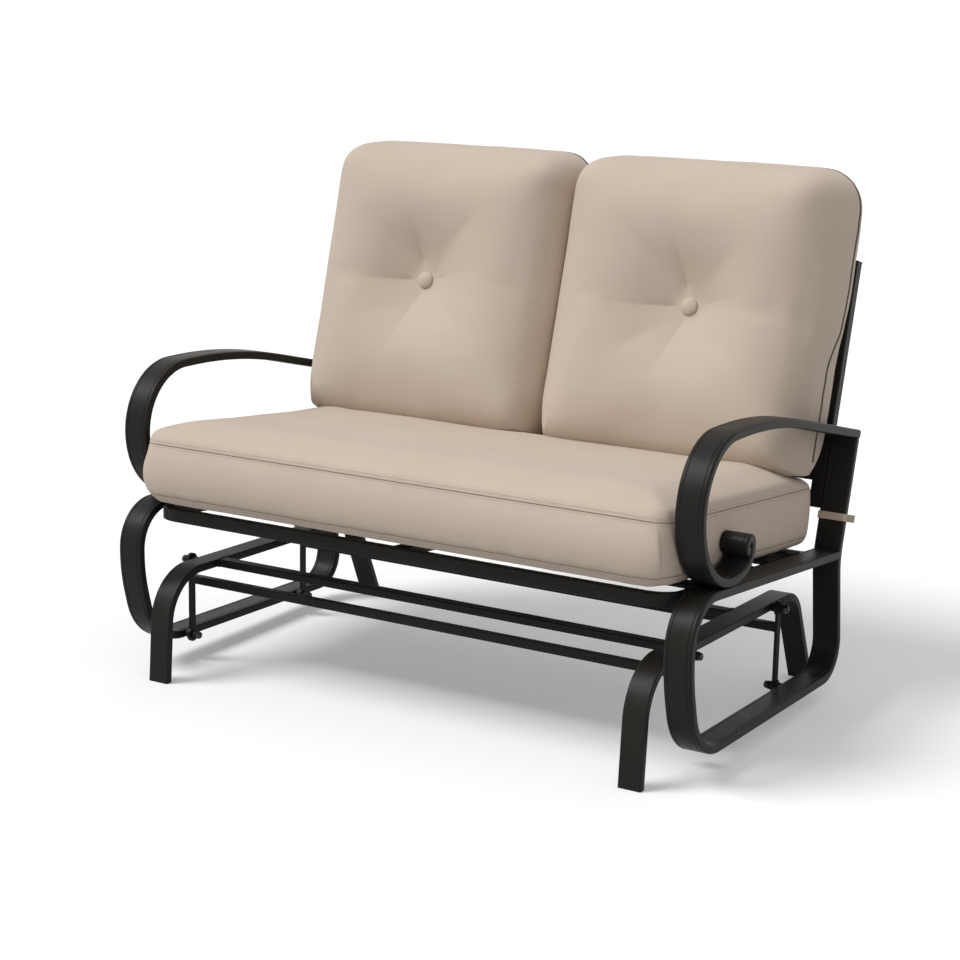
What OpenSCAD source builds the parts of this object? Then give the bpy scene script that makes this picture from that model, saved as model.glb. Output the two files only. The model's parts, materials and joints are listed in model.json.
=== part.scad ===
/* [Overall size] */
// Width over the outer faces of the two side loops
bench_w = 1206.5; // [1000:0.5:1600]
// Depth of the standing frame, from the front feet to the rear feet
base_depth = 736.6; // [700:0.1:800]
// Height of the top of the armrests
arm_h = 596.9; // [580:0.1:620]
// Height of the bare frame, at the top of the back posts
frame_h = 812; // [800:1:870]
// Height of the top of the seat frame at its front rail
seat_h = 332; // [325:1:340]
// Fall of the seat towards the back, in degrees
seat_fall = 5.2; // [3:0.1:7]
// Lean of the back from upright, in degrees
back_lean = 15.3; // [14:0.1:18]

/* [Side loops and armrests] */
// Width of the flat tube that the loops and armrests are bent from
tube_w = 52; // [40:1:60]
// Thickness of that tube
tube_t = 16; // [12:0.5:20]
// Radius of the tube's edges
tube_edge_r = 4; // [2:0.5:5]
// Distance of each rolled groove from the tube's edge
groove_inset = 8.5; // [6:0.5:12]
// Radius of the groove's round
groove_r = 1.4; // [1:0.1:2]
// Depth of the groove
groove_depth = 0.8; // [0.4:0.1:1]
// Setback of the front of the loops from the front feet
loop_front = 12; // [0:1:30]
// Setback of the front of the armrests from the front feet
arm_front = 34; // [20:1:50]
// Height at which the loop's front starts to bow back
bow_h = 199.6; // [180:0.1:205]
// Angle of that bow, in degrees
bow_turn = 15; // [8:0.5:18]
// Inset of the kink in the rear upright from the rear feet
kink_inset = 90; // [80:0.5:110]
// Height of the kink
kink_h = 268; // [255:1:280]
// Forward lean of the rear upright below the kink, in degrees
heel_lean = 8; // [4:0.5:10]
// Height of the middle of the loop's bottom rail at the front pivot
low_rail_h = 52; // [48:0.5:60]
// Fall of the bottom rails and base rails towards the back, in degrees
rail_fall = 1.15; // [0:0.05:2]
// Bend radius where the seat rail turns down
loop_top_r = 80; // [60:1:90]
// Bend radius of the bow down the loop's front
loop_bow_r = 300; // [200:5:330]
// Bend radius of the loop's low front corner
loop_low_r = 110; // [80:1:115]
// Bend radius of the loop's low rear corner
loop_heel_r = 62; // [50:1:80]
// Bend radius of the kink at seat level
kink_r = 130; // [80:1:160]
// Bend radius at the top of the armrest's front
arm_top_r = 119.4; // [110:0.1:125]
// Bend radius of the long curve along the top of the armrest
arm_crown_r = 1211; // [1000:1:1300]
// Length of the flat stretch on top of the armrest
arm_flat = 24; // [10:1:40]
// Slope of the armrest's rear stretch, in degrees
arm_slope = 13.2; // [11:0.1:15]
// Bend radius of the curl under the scroll
curl_r = 42; // [36:1:46]
// Bend radius of the rolled end
roll_r = 12; // [11:0.5:14]
// Turn of the bow past its lowest point, in degrees
bow_rise = 20; // [10:1:30]
// Turn of the rolled end, in degrees
roll_turn = 240; // [200:5:245]

/* [Base] */
// Width of the flat tube of the base
leg_w = 44; // [36:1:50]
// Thickness of that tube
leg_t = 15; // [12:0.5:18]
// Radius of its edges
leg_edge_r = 2.5; // [1.5:0.5:4]
// Height of the middle of the base rail at the front pivot
base_rail_h = 202.7; // [190:0.1:215]
// Splay of the front legs, in degrees
front_splay = 4; // [2:0.5:6]
// Splay of the rear legs, in degrees
rear_splay = 24.5; // [20:0.5:28]
// Bend radius at the top of the front legs
front_bend_r = 94.5; // [70:0.5:98]
// Bend radius at the top of the rear legs
rear_bend_r = 67.5; // [50:0.5:90]
// Thickness of the plastic foot caps
foot_cap_t = 3; // [2:0.5:5]
// Setback of the front crossbar's middle from the front feet
front_bar_y = 173; // [170:1:230]
// Setback of the rear crossbar's middle from the front feet
rear_bar_y = 432; // [420:1:470]
// Depth of the crossbars
cross_d = 24; // [20:1:30]

/* [Swing links] */
// Setback of the front pivots from the front feet
pivot_front_y = 150; // [145:1:160]
// Distance between the front and rear pivots
pivot_span = 370; // [350:1:390]
// Gap between the base and the loops, which holds the links
link_gap = 25.75; // [22:0.25:30]
// Thickness of a link
link_t = 6; // [4:0.5:8]
// Width of a link's bar
link_w = 14; // [12:0.5:18]
// Radius of a link's eyes
link_eye_r = 14; // [12.5:0.5:16]
// Side of the square bar that joins a pair of links
yoke_bar_s = 16; // [12:0.5:18]
// Radius of that bar's edges
yoke_bar_r = 2; // [1:0.5:3]
// Drop of that bar's middle below the upper pivots
yoke_bar_drop = 37; // [34:1:50]
// Radius of the pivot bolts
bolt_r = 4; // [3:0.5:5]
// Radius of a bush in its eye
bush_r = 8; // [6.5:0.5:9]
// Radius of a bush's flanges
bush_flange_r = 11; // [9.5:0.5:12]
// Thickness of a bush's flanges
bush_flange_t = 2; // [1:0.5:3]
// Width across the flats of the bolt heads
head_af = 13; // [11:0.5:16]
// Thickness of the bolt heads
head_t = 5.3; // [4:0.1:7]
// Length of a pivot bolt's hold in its rail
bolt_hold = 30; // [20:1:36]

/* [Seat and back frames] */
// Depth of the seat frame's tube
seat_tube_d = 20; // [15:1:25]
// Height of the seat frame's tube
seat_tube_h = 25; // [20:1:30]
// Radius of its edges
seat_tube_r = 2.5; // [1.5:0.5:4]
// Setback of the seat frame's front from the front feet
seat_front = 45; // [40:1:60]
// Bend radius of the seat frame's front corners
seat_corner_r = 50; // [35:1:70]
// Gap between the seat frame's rear ends and the kink in the uprights
seat_rear_gap = 9.6; // [5:0.1:40]
// Width of the centre bar under the seat slats
centre_bar_w = 26; // [20:1:35]
// Height of the centre bar
centre_bar_h = 18; // [14:1:22]
// Number of seat slats
seat_slats_n = 5; // [3:1:6]
// Width of a slat
slat_w = 40; // [25:1:45]
// Thickness of a slat
slat_t = 9; // [6:0.5:10]
// Width of the back frame's tubes
back_tube_w = 25; // [20:1:30]
// Depth of the back frame's tubes
back_tube_d = 24; // [20:1:26]
// Offset of the back posts behind the middle of the loops' uprights
post_setback = 6; // [4:0.5:7]
// Distance of the back posts' lower ends above the kink
back_post_low = 95; // [92:1:100]
// Distance of the back frame's lower rail above the kink
back_low_rail = 155; // [145:1:165]
// Number of back slats
back_slats_n = 7; // [4:1:9]
// Radius of the frame bolts
frame_bolt_r = 2.5; // [2:0.5:3]
// Width across the flats of their heads
frame_head_af = 8; // [7:0.5:10]
// Thickness of their heads
frame_head_t = 3.5; // [3:0.1:5]
// Length of a frame bolt's hold in the side loop
frame_bolt_hold = 22; // [15:1:30]

/* [Cushions] */
// Thickness of the seat cushion from its base to the top of its crown
seat_cushion_t = 138; // [110:1:150]
// Overhang of the seat cushion in front of the seat frame
seat_cushion_over = 34; // [0:1:40]
// Clearance between the seat cushion and the planes of the loops
seat_cushion_side = 1; // [1:1:20]
// Gap between the seat cushion and the kink in the uprights
seat_cushion_gap = 2.6; // [0:0.1:30]
// Distance of the back cushions' lower edge above the kink, along the back
back_cushion_low = 155; // [148:1:170]
// Height of a back cushion
back_cushion_h = 548; // [500:1:600]
// Thickness of a back cushion
back_cushion_t = 200; // [120:1:210]
// Clearance beside and between the back cushions
back_cushion_side = 4; // [3:1:20]
// Radius of a back cushion's corners
back_cushion_r = 58; // [56:1:70]
// Radius of the seat cushion's corners
seat_cushion_r = 36; // [30:1:60]
// Depth of the tuft round a button
tuft_depth = 45; // [15:1:60]
// Reach of the tuft from its button
tuft_reach = 86; // [40:1:110]
// Depth of the soft folds that run out from a tuft
fold_depth = 7; // [0:0.5:10]
// Height of the middle of the buttons above the lower edge of a back cushion
button_up = 273; // [250:1:320]
// Offset of the buttons outwards from the middle of their cushions
button_out = 19; // [0:1:40]
// Radius of the fabric buttons
button_r = 17; // [12:1:19]
// Thickness of a button
button_t = 9; // [6:0.5:12]
// Distance of the tie straps above the kink, along the back
tie_up = 80; // [78:1:82]
// Length of a tie strap's tail outside the loop
tie_tail = 16; // [8:1:30]
// Width of the tie straps
tie_w = 14; // [10:1:16]
// Thickness of the tie straps
tie_t = 2.4; // [1.5:0.1:3]

/* [Hidden] */
$fn = 48;
half_turn = 180;
full_turn = 360;
frame_colour = "#2e2a27";
steel_colour = "#8d8f92";
plastic_colour = "#1c1c1c";
fabric_colour = "#bfae9b";

// Clearances: a fixed bolt in its hole, a bush running on its bolt, a bush in its eye,
// and soft or welded pieces at their seats
hole_clear = 0.1;
run_clear = 0.06;
bush_clear = 0.02;
seat_clear = 0.3;
// Overrun of a cut past the face that it opens
cut_over = 2;
// How much slimmer a bend is than its straight runs, how far it starts inside them, and
// the run left between two bends that follow each other
bend_slim = 0.02;
bend_start = 0.5;
joint_run = 1;

// Rows across the width
half_w = bench_w / 2;
loop_in_x = half_w - tube_w;
loop_mid_x = half_w - tube_w / 2;
base_out_x = loop_in_x - link_gap;
base_in_x = base_out_x - leg_w;
base_mid_x = base_out_x - leg_w / 2;
link_mid_x = loop_in_x - link_gap / 2;

// Lines of the frame in side view, as heights over the distance y behind the front feet
function base_z(y) = base_rail_h - tan(rail_fall) * (y - pivot_front_y);
function low_z(y) = low_rail_h - tan(rail_fall) * (y - pivot_front_y);
function seat_z(y) = seat_h - tan(seat_fall) * (y - seat_front);
pivot_rear_y = pivot_front_y + pivot_span;
link_len = base_rail_h - low_rail_h;

// Corners of a side loop's centre line
loop_front_y = loop_front + tube_t / 2;
bow_reach = tan(bow_turn);
low_corner_y = (loop_front_y + bow_reach * (bow_h - low_z(0))) / (1 + bow_reach * -tan(rail_fall));
kink_y = base_depth - kink_inset;
seat_len = kink_y - seat_front - seat_rear_gap;
seat_cushion_len = kink_y - seat_front - seat_cushion_gap + seat_cushion_over;
heel_y = (kink_y + tan(heel_lean) * (kink_h - low_z(0))) / (1 - tan(heel_lean) * tan(rail_fall));

// Places along the leaning back: distance up from the kink and distance behind its line
function back_at(up, behind) = [kink_y + up * sin(back_lean) + behind * cos(back_lean),
  kink_h + up * cos(back_lean) - behind * sin(back_lean)];

// The armrest: its bow hangs from the top bend and rests on the seat rail
arm_top_out = arm_top_r + tube_t / 2;
bow_z = arm_h - arm_top_out - joint_run;
rail_top_0 = seat_z(0) + tube_t / 2 / cos(seat_fall);
bow_out = ((bow_z - rail_top_0) * cos(seat_fall) + arm_front * sin(seat_fall) - seat_clear)
  / (1 - sin(seat_fall));
arm_bow_r = bow_out - tube_t / 2;
crown_start_y = arm_front + arm_top_out + arm_flat;
crown_end_y = crown_start_y + arm_crown_r * sin(arm_slope);
crown_end_z = arm_h - tube_t / 2 - arm_crown_r * (1 - cos(arm_slope));
// Where the rear face of the upright meets the underside of the armrest
under_z = crown_end_z - tube_t / 2 / cos(arm_slope);
upright_y = kink_y + tube_t / 2 / cos(back_lean);
arm_rear_y = (upright_y + tan(back_lean) * (under_z + tan(arm_slope) * crown_end_y - kink_h))
  / (1 + tan(back_lean) * tan(arm_slope));
arm_rear_run = (arm_rear_y - crown_end_y) / cos(arm_slope) + tube_t / 2 * tan(arm_slope);

// The back posts end level at the top
post_back = post_setback + back_tube_d / 2;
cap_t = foot_cap_t;
post_up = (frame_h - kink_h + (post_setback - back_tube_d / 2) * sin(back_lean))
  / cos(back_lean) - cap_t;
post_len = post_up - back_post_low;
post_rear_y = back_at(post_up + cap_t, post_back)[0];
post_mid_x = loop_in_x - back_tube_w / 2;
rail_half = loop_in_x - back_tube_w;
seat_half = loop_in_x - seat_tube_d;

// Forms of the cushions

// Points of a quarter bend and of a straight edge in a cushion's outline
bend_n = 5;
edge_n = 8;
function bend_points(c, r, from) = [for (i = [0:bend_n])
  c + r * [cos(from + i * 90 / bend_n), sin(from + i * 90 / bend_n)]];
function edge_points(p, q) = [for (i = [1:edge_n - 1]) p + (q - p) * i / edge_n];

// Outline of a cushion with half sizes a and b and corner radius r
function outline(a, b, r) = let (
    q1 = bend_points([a - r, b - r], r, 0), q2 = bend_points([r - a, b - r], r, 90),
    q3 = bend_points([r - a, r - b], r, 180), q4 = bend_points([a - r, r - b], r, 270))
  concat(q1, edge_points(q1[bend_n], q2[0]), q2, edge_points(q2[bend_n], q3[0]),
    q3, edge_points(q3[bend_n], q4[0]), q4, edge_points(q4[bend_n], q1[0]));
ring_n = 4 * (bend_n + edge_n);

// Rings of a cushion from its underside to its crown, in shares: how far each lies in from
// the seam by shares of the corner radius, then its scale, then its height by shares of the
// lower roll, the boxing between the seams and the crown
bulge_share = 0.085;
roll_shares = [[0, 0.3, 0, 0, 0], [0, 0.6, 0, 0, 0], [0, 0.88, 0, 0, 0], [0.2, 1, 0.24, 0, 0],
  [0.06, 1, 0.62, 0, 0], [0, 1, 1, 0, 0]];
boxing_shares = [[-0.6 * bulge_share, 1, 1, 0.12, 0], [-bulge_share, 1, 1, 0.5, 0],
  [-0.6 * bulge_share, 1, 1, 0.88, 0], [0, 1, 1, 1, 0]];
// A box cushion has a low crown above its upper seam
crown_shares = [[0.05, 1, 1, 1, 0.26], [0.18, 1, 1, 1, 0.52], [0.42, 1, 1, 1, 0.74],
  [0, 0.84, 1, 1, 0.9], [0, 0.68, 1, 1, 0.97], [0, 0.5, 1, 1, 1], [0, 0.34, 1, 1, 1],
  [0, 0.2, 1, 1, 1], [0, 0.1, 1, 1, 1]];
// A pillow has one full round from the seam behind it over to its face
pillow_shares = [[-0.5 * bulge_share, 1, 1, 1, 0.07], [-bulge_share, 1, 1, 1, 0.21],
  [-0.8 * bulge_share, 1, 1, 1, 0.38], [-0.2 * bulge_share, 1, 1, 1, 0.55],
  [0.07, 1, 1, 1, 0.67], [0.19, 1, 1, 1, 0.77], [0.35, 1, 1, 1, 0.85], [0.54, 1, 1, 1, 0.91],
  [0.75, 1, 1, 1, 0.945], [0, 0.74, 1, 1, 0.972], [0, 0.56, 1, 1, 0.992], [0, 0.38, 1, 1, 1],
  [0, 0.22, 1, 1, 1], [0, 0.12, 1, 1, 1], [0, 0.06, 1, 1, 1]];
box_rings = concat(roll_shares, boxing_shares, crown_shares);
pillow_rings = concat(roll_shares, pillow_shares);

// Depth of a tuft and of its folds at a distance and an angle from the button
tuft_flat_share = 1.5;
tuft_flat = button_r * tuft_flat_share;
function dip(p) = let (d = norm(p), out = max(d - tuft_flat, 0), way = atan2(p[1], p[0]))
  tuft_depth * exp(-pow(out / tuft_reach, 2))
  + fold_depth * pow(cos(2 * way), 2) * exp(-pow((d - 2 * tuft_reach) / tuft_reach, 2));

// Points of a cushion with half sizes a and b and corner radius r, the heights of its roll,
// boxing and crown, and its rings drawn towards the place c; tuft is 1 for a buttoned face
// and 0 for a plain one
function cushion_points(table, a, b, r, roll, boxing, crown, c, tuft) = [for (s = table)
  let (inset = s[0] * r, z = s[2] * roll + s[3] * boxing + s[4] * crown)
  for (p = outline(a - inset, b - inset, r - inset))
    let (q = (p - c) * s[1]) [q[0] + c[0], q[1] + c[1], z - (s[4] > 0 ? tuft * s[4] * dip(q) : 0)]];

// Seat cushion: roll, boxing and crown share its thickness
seat_parts_shares = [0.16, 0.67];
seat_roll = seat_cushion_t * seat_parts_shares[0];
seat_boxing = seat_cushion_t * seat_parts_shares[1];
seat_crown = seat_cushion_t - seat_roll - seat_boxing;
seat_cushion_half = loop_in_x - seat_cushion_side - bulge_share * seat_cushion_r;

// Back cushions lie on the front of the back frame
back_roll_share = 0.11;
back_roll = back_cushion_t * back_roll_share;
back_crown = back_cushion_t - back_roll;
back_cushion_bulge = bulge_share * back_cushion_r;
back_cushion_half = (loop_in_x - back_cushion_side * 3 / 2) / 2 - back_cushion_bulge;
back_cushion_x = back_cushion_side / 2 + back_cushion_bulge + back_cushion_half;
back_cushion_stand = back_tube_d / 2 - post_setback + seat_clear;
tuft_at = [button_out, button_up - back_cushion_h / 2];
back_cushion_mid = back_cushion_low + back_cushion_h / 2;

// The frame's middle from front to back, with whichever reaches farther back: post or cushion
cushion_rear_y = max([for (p = cushion_points(pillow_rings, back_cushion_half,
    back_cushion_h / 2, back_cushion_r, back_roll, 0, back_crown, tuft_at, 1))
  back_at(p[1] + back_cushion_mid, -back_cushion_stand - p[2])[0]]);
mid_y = max(post_rear_y, cushion_rear_y) / 2;

// Sets a side view, drawn as y behind the front feet and height, upright at a place x
module side_view(x) {
  translate([x, -mid_y, 0]) rotate([90, 0, 90]) children();
}

// Draws its children at both ends of the bench, the left one mirrored
module both_sides() {
  children();
  mirror([1, 0, 0]) children();
}

// Flat tube section with rounded edges, thickness along x and width along y, slimmer all
// round by a distance
module flat_section(t, w, r, slim = 0) {
  square([t - 2 * r, w - 2 * slim], center = true);
  square([t - 2 * slim, w - 2 * r], center = true);
  for (sx = [-1, 1], sy = [-1, 1])
    translate([sx * (t / 2 - r), sy * (w / 2 - r)]) circle(r - slim);
}

// The same section with a rolled groove near each edge of its broad faces
module grooved_section(slim = 0) {
  difference() {
    flat_section(tube_t, tube_w, tube_edge_r, slim);
    for (sx = [-1, 1], sy = [-1, 1])
      translate([sx * (tube_t / 2 + groove_r - groove_depth), sy * (tube_w / 2 - groove_inset)])
        circle(groove_r + slim);
  }
}

// A straight run of the section given as a child, along x
module run(len) {
  rotate([90, 0, 90]) linear_extrude(len) children();
}

// Bends tube by steps of [straight run, turn to the left in degrees, bend radius]. The first
// child is the section of the runs; the second, a hair slimmer, that of the bends, which
// start and end inside the runs so that the tube is one solid
module bent_tube(steps, i = 0) {
  turn = steps[i][1];
  r = steps[i][2];
  side = turn < 0 ? -1 : 1;
  sweep = abs(turn);
  run(steps[i][0]) children(0);
  if (i < len(steps) - 1) {
    extra = atan(bend_start / r);
    translate([steps[i][0], side * r, 0]) {
      rotate(side > 0 ? -90 - extra : 90 - sweep - extra)
        rotate_extrude(angle = sweep + 2 * extra) translate([r, 0]) children(1);
      rotate(turn) translate([0, -side * r, 0]) bent_tube(steps, i + 1) {
        children(0);
        children(1);
      }
    }
  }
}

// Heading from one point to the next, the turn at a corner, and what its bend takes up
function heading(a, b) = atan2(b[1] - a[1], b[0] - a[0]);
function turn_at(p, i) = let (d = heading(p[i], p[i + 1]) - heading(p[i - 1], p[i]))
  d > half_turn ? d - full_turn : d < -half_turn ? d + full_turn : d;
function take_up(p, radii, i) = i < 1 || i > len(p) - 2 ? 0
  : radii[i - 1] * tan(abs(turn_at(p, i)) / 2);

// Bends tube along the corners p, with one bend radius for each inner corner
module tube_through(p, radii) {
  last = len(p) - 2;
  translate(p[0]) rotate(heading(p[0], p[1]))
    bent_tube([for (i = [0:last])
      [norm(p[i + 1] - p[i]) - take_up(p, radii, i) - take_up(p, radii, i + 1),
        i < last ? turn_at(p, i + 1) : 0,
        i < last ? radii[i] : 0]]) {
          children(0);
          children(1);
        }
}

// Base frames

// Corners of a base frame's centre line, its legs run on past the floor
function leg_front_y(z) = leg_t / 2 / cos(front_splay) + tan(front_splay) * z;
function leg_rear_y(z) = base_depth - leg_t / 2 / cos(rear_splay) - tan(rear_splay) * z;
front_top_y = leg_front_y(base_z(0)) / (1 + tan(front_splay) * tan(rail_fall));
rear_top_y = leg_rear_y(base_z(0)) / (1 - tan(rear_splay) * tan(rail_fall));
base_corners = [[leg_front_y(-leg_t), -leg_t], [front_top_y, base_z(front_top_y)],
  [rear_top_y, base_z(rear_top_y)], [leg_rear_y(-leg_t), -leg_t]];

module base_tube() {
  tube_through(base_corners, [front_bend_r, rear_bend_r]) {
    flat_section(leg_t, leg_w, leg_edge_r);
    flat_section(leg_t, leg_w, leg_edge_r, bend_slim);
  }
}

// A band of the side view between two heights, across the whole base frame
module level_band(low, high) {
  translate([-leg_w, low, -leg_w]) cube([base_depth + 2 * leg_w, high - low, 2 * leg_w]);
}

module base_frame() {
  difference() {
    side_view(base_mid_x) difference() {
      base_tube();
      level_band(-2 * leg_t, foot_cap_t);
    }
    for (y = [pivot_front_y, pivot_rear_y])
      pivot_bore(y, base_z(y), base_out_x - bolt_hold - hole_clear, base_out_x + cut_over);
  }
}

// A bolt's hole along x at a place of the side view
module pivot_bore(y, z, x1, x2) {
  translate([x1, y - mid_y, z]) rotate([0, 90, 0]) cylinder(r = bolt_r + hole_clear, h = x2 - x1);
}

module right_base_frame() {
  color(frame_colour) base_frame();
}

module left_base_frame() {
  color(frame_colour) mirror([1, 0, 0]) base_frame();
}

module crossbar(y) {
  translate([-base_in_x, y - mid_y, base_z(y)]) run(2 * base_in_x)
    flat_section(cross_d, leg_t, leg_edge_r);
}

module front_base_crossbar() {
  color(frame_colour) crossbar(front_bar_y);
}

module rear_base_crossbar() {
  color(frame_colour) crossbar(rear_bar_y);
}

module foot_caps() {
  color(plastic_colour) both_sides() side_view(base_mid_x) intersection() {
    base_tube();
    level_band(0, foot_cap_t);
  }
}

// Pivot bolts: a plain shank, a hexagon head and a low dome on it
module pivot_bolt() {
  head_start = link_gap;
  translate([0, 0, -bolt_hold]) cylinder(r = bolt_r, h = bolt_hold + head_start + head_t / 2);
  translate([0, 0, head_start]) cylinder(d = head_af / cos(30), h = head_t, $fn = 6);
  translate([0, 0, head_start + head_t]) rotate_extrude() intersection() {
    square(head_af / 2);
    scale([1, 1 / 2]) circle(head_af / 2);
  }
}

module upper_pivot_bolts() {
  color(steel_colour) both_sides()
    for (y = [pivot_front_y, pivot_rear_y])
      translate([base_out_x, y - mid_y, base_z(y)]) rotate([0, 90, 0]) pivot_bolt();
}

module lower_pivot_bolts() {
  color(steel_colour) both_sides()
    for (y = [pivot_front_y, pivot_rear_y])
      translate([loop_in_x, y - mid_y, low_z(y)]) rotate([0, -90, 0]) pivot_bolt();
}

// Swing links

// A link in side view about its upper pivot, with an eye at each end
module link() {
  difference() {
    linear_extrude(link_t, center = true) difference() {
      union() {
        circle(link_eye_r);
        translate([0, -link_len]) circle(link_eye_r);
        translate([-link_w / 2, -link_len]) square([link_w, link_len]);
      }
      for (drop = [0, link_len])
        translate([0, -drop]) circle(bush_r + bush_clear);
    }
  }
}

module link_at(y) {
  side_view(link_mid_x) translate([y, base_z(y), 0]) link();
}

module front_right_link() {
  color(frame_colour) link_at(pivot_front_y);
}

module front_left_link() {
  color(frame_colour) mirror([1, 0, 0]) link_at(pivot_front_y);
}

module rear_right_link() {
  color(frame_colour) link_at(pivot_rear_y);
}

module rear_left_link() {
  color(frame_colour) mirror([1, 0, 0]) link_at(pivot_rear_y);
}

module yoke_bar(y) {
  half = link_mid_x - link_t / 2;
  translate([-half, y - mid_y, base_z(y) - yoke_bar_drop]) run(2 * half)
    flat_section(yoke_bar_s, yoke_bar_s, yoke_bar_r);
}

module front_yoke_bar() {
  color(frame_colour) yoke_bar(pivot_front_y);
}

module rear_yoke_bar() {
  color(frame_colour) yoke_bar(pivot_rear_y);
}

// A bush fills the gap beside its link and bears on the link with a flange
module bush() {
  difference() {
    union() {
      translate([0, 0, seat_clear]) cylinder(r = bush_r, h = link_gap - 2 * seat_clear);
      translate([0, 0, (link_gap + link_t) / 2]) cylinder(r = bush_flange_r, h = bush_flange_t);
    }
    translate([0, 0, -cut_over]) cylinder(r = bolt_r + run_clear, h = link_gap + 2 * cut_over);
  }
}

module bush_pair(y) {
  both_sides() for (z = [base_z(y), low_z(y)])
    translate([base_out_x, y - mid_y, z]) rotate([0, 90, 0]) bush();
}

module front_link_bushes() {
  color(plastic_colour) bush_pair(pivot_front_y);
}

module rear_link_bushes() {
  color(plastic_colour) bush_pair(pivot_rear_y);
}

// Side loops and armrests

loop_corners = [[kink_y, seat_z(kink_y)], [loop_front_y, seat_z(loop_front_y)],
  [loop_front_y, bow_h], [low_corner_y, low_z(low_corner_y)], [heel_y, low_z(heel_y)],
  [kink_y, kink_h], back_at((arm_h - kink_h) / cos(back_lean), 0)];

module side_loop() {
  difference() {
    side_view(loop_mid_x) difference() {
      tube_through(loop_corners, [loop_top_r, loop_bow_r, loop_low_r, loop_heel_r, kink_r]) {
        grooved_section();
        grooved_section(bend_slim);
      }
      translate([crown_end_y, under_z, -tube_w]) rotate(-arm_slope)
        cube([base_depth / 2, arm_h, 2 * tube_w]);
    }
    for (y = [pivot_front_y, pivot_rear_y])
      pivot_bore(y, low_z(y), loop_in_x - cut_over, loop_in_x + bolt_hold + hole_clear);
    seat_bolt_places() loop_bore();
    back_bolt_places() loop_bore();
  }
}

module loop_bore() {
  translate([0, 0, -cut_over])
    cylinder(r = frame_bolt_r + hole_clear, h = cut_over + frame_bolt_hold + hole_clear);
}

module right_side_loop() {
  color(frame_colour) side_loop();
}

module left_side_loop() {
  color(frame_colour) mirror([1, 0, 0]) side_loop();
}

module armrest() {
  side_view(loop_mid_x)
    translate([crown_end_y + arm_rear_run * cos(arm_slope), crown_end_z - arm_rear_run * sin(arm_slope)])
      rotate(180 - arm_slope)
        bent_tube([[arm_rear_run, arm_slope, arm_crown_r], [arm_flat, 90, arm_top_r],
            [joint_run, 90 + bow_rise, arm_bow_r], [joint_run, 90 - bow_rise, curl_r],
            [joint_run, roll_turn, roll_r], [joint_run, 0, 0]]) {
          grooved_section();
          grooved_section(bend_slim);
        }
}

module right_armrest() {
  color(frame_colour) armrest();
}

module left_armrest() {
  color(frame_colour) mirror([1, 0, 0]) armrest();
}

// Seat frame

// Sets its children on the plane of the seat frame's top, x across and y back along it
module on_seat() {
  translate([0, seat_front - mid_y, seat_h]) rotate([-seat_fall, 0, 0]) children();
}

// Sets its children on the back's plane, x across, y up the back and z towards the front
module on_back() {
  translate([0, kink_y - mid_y, kink_h]) rotate([90 - back_lean, 0, 0]) children();
}

module seat_frame() {
  d = seat_tube_d / 2;
  half = loop_in_x - d;
  color(frame_colour) difference() {
    on_seat() translate([0, 0, -seat_tube_h / 2])
      tube_through([[-half, seat_len], [-half, d], [half, d], [half, seat_len]],
          [seat_corner_r, seat_corner_r]) {
        flat_section(seat_tube_d, seat_tube_h, seat_tube_r);
        flat_section(seat_tube_d, seat_tube_h, seat_tube_r, bend_slim);
      }
    both_sides() seat_bolt_places() frame_bore();
  }
}

module seat_rear_rail() {
  color(frame_colour) on_seat()
    translate([-seat_half, seat_len - seat_tube_d / 2, -seat_tube_h / 2]) run(2 * seat_half)
      flat_section(seat_tube_d, seat_tube_h, seat_tube_r);
}

module seat_centre_bar() {
  color(frame_colour) on_seat()
    translate([0, seat_tube_d, -centre_bar_h / 2]) rotate(90) run(seat_len - 2 * seat_tube_d)
      flat_section(centre_bar_w, centre_bar_h, seat_tube_r);
}

// Slats lie across the top of the frame, spread over its middle
slat_pitch = (seat_len - seat_tube_d) / (seat_slats_n + 1 / 2);
slat_half = loop_in_x - seat_clear;

function slat_at(i) = seat_tube_d + (i + 3 / 4) * slat_pitch;

module seat_slats() {
  color(frame_colour) on_seat()
    for (i = [0:seat_slats_n - 1])
      translate([-slat_half, slat_at(i), slat_t / 2]) run(2 * slat_half)
        flat_section(slat_w, slat_t, seat_tube_r);
}

// Back frame

module back_post() {
  difference() {
    on_back() translate([post_mid_x, back_post_low, -post_setback]) rotate([-90, 0, 0])
      linear_extrude(post_len) flat_section(back_tube_w, back_tube_d, seat_tube_r);
    back_bolt_places() frame_bore();
  }
}

module right_back_post() {
  color(frame_colour) back_post();
}

module left_back_post() {
  color(frame_colour) mirror([1, 0, 0]) back_post();
}

module post_caps() {
  color(plastic_colour) both_sides() on_back()
    for (up = [back_post_low - cap_t, post_up])
      translate([post_mid_x, up, -post_setback]) rotate([-90, 0, 0])
        linear_extrude(cap_t) square([back_tube_w, back_tube_d], center = true);
}

// A rail between the posts, with its middle at a distance up the back
module back_rail(up) {
  on_back() translate([-rail_half, up, -post_setback]) run(2 * rail_half)
    flat_section(back_tube_w, back_tube_d, seat_tube_r);
}

back_top_up = post_up - back_tube_w / 2;

module back_top_rail() {
  color(frame_colour) back_rail(back_top_up);
}

module back_lower_rail() {
  color(frame_colour) back_rail(back_low_rail);
}

// Back slats stand between the two rails, spread evenly
back_slat_low = back_low_rail + back_tube_w / 2;
back_slat_len = back_top_up - back_tube_w / 2 - back_slat_low;
back_slat_pitch = 2 * rail_half / back_slats_n;
// Slats lie this share of the rails' depth back from their front
back_slat_share = 0.3;

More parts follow.
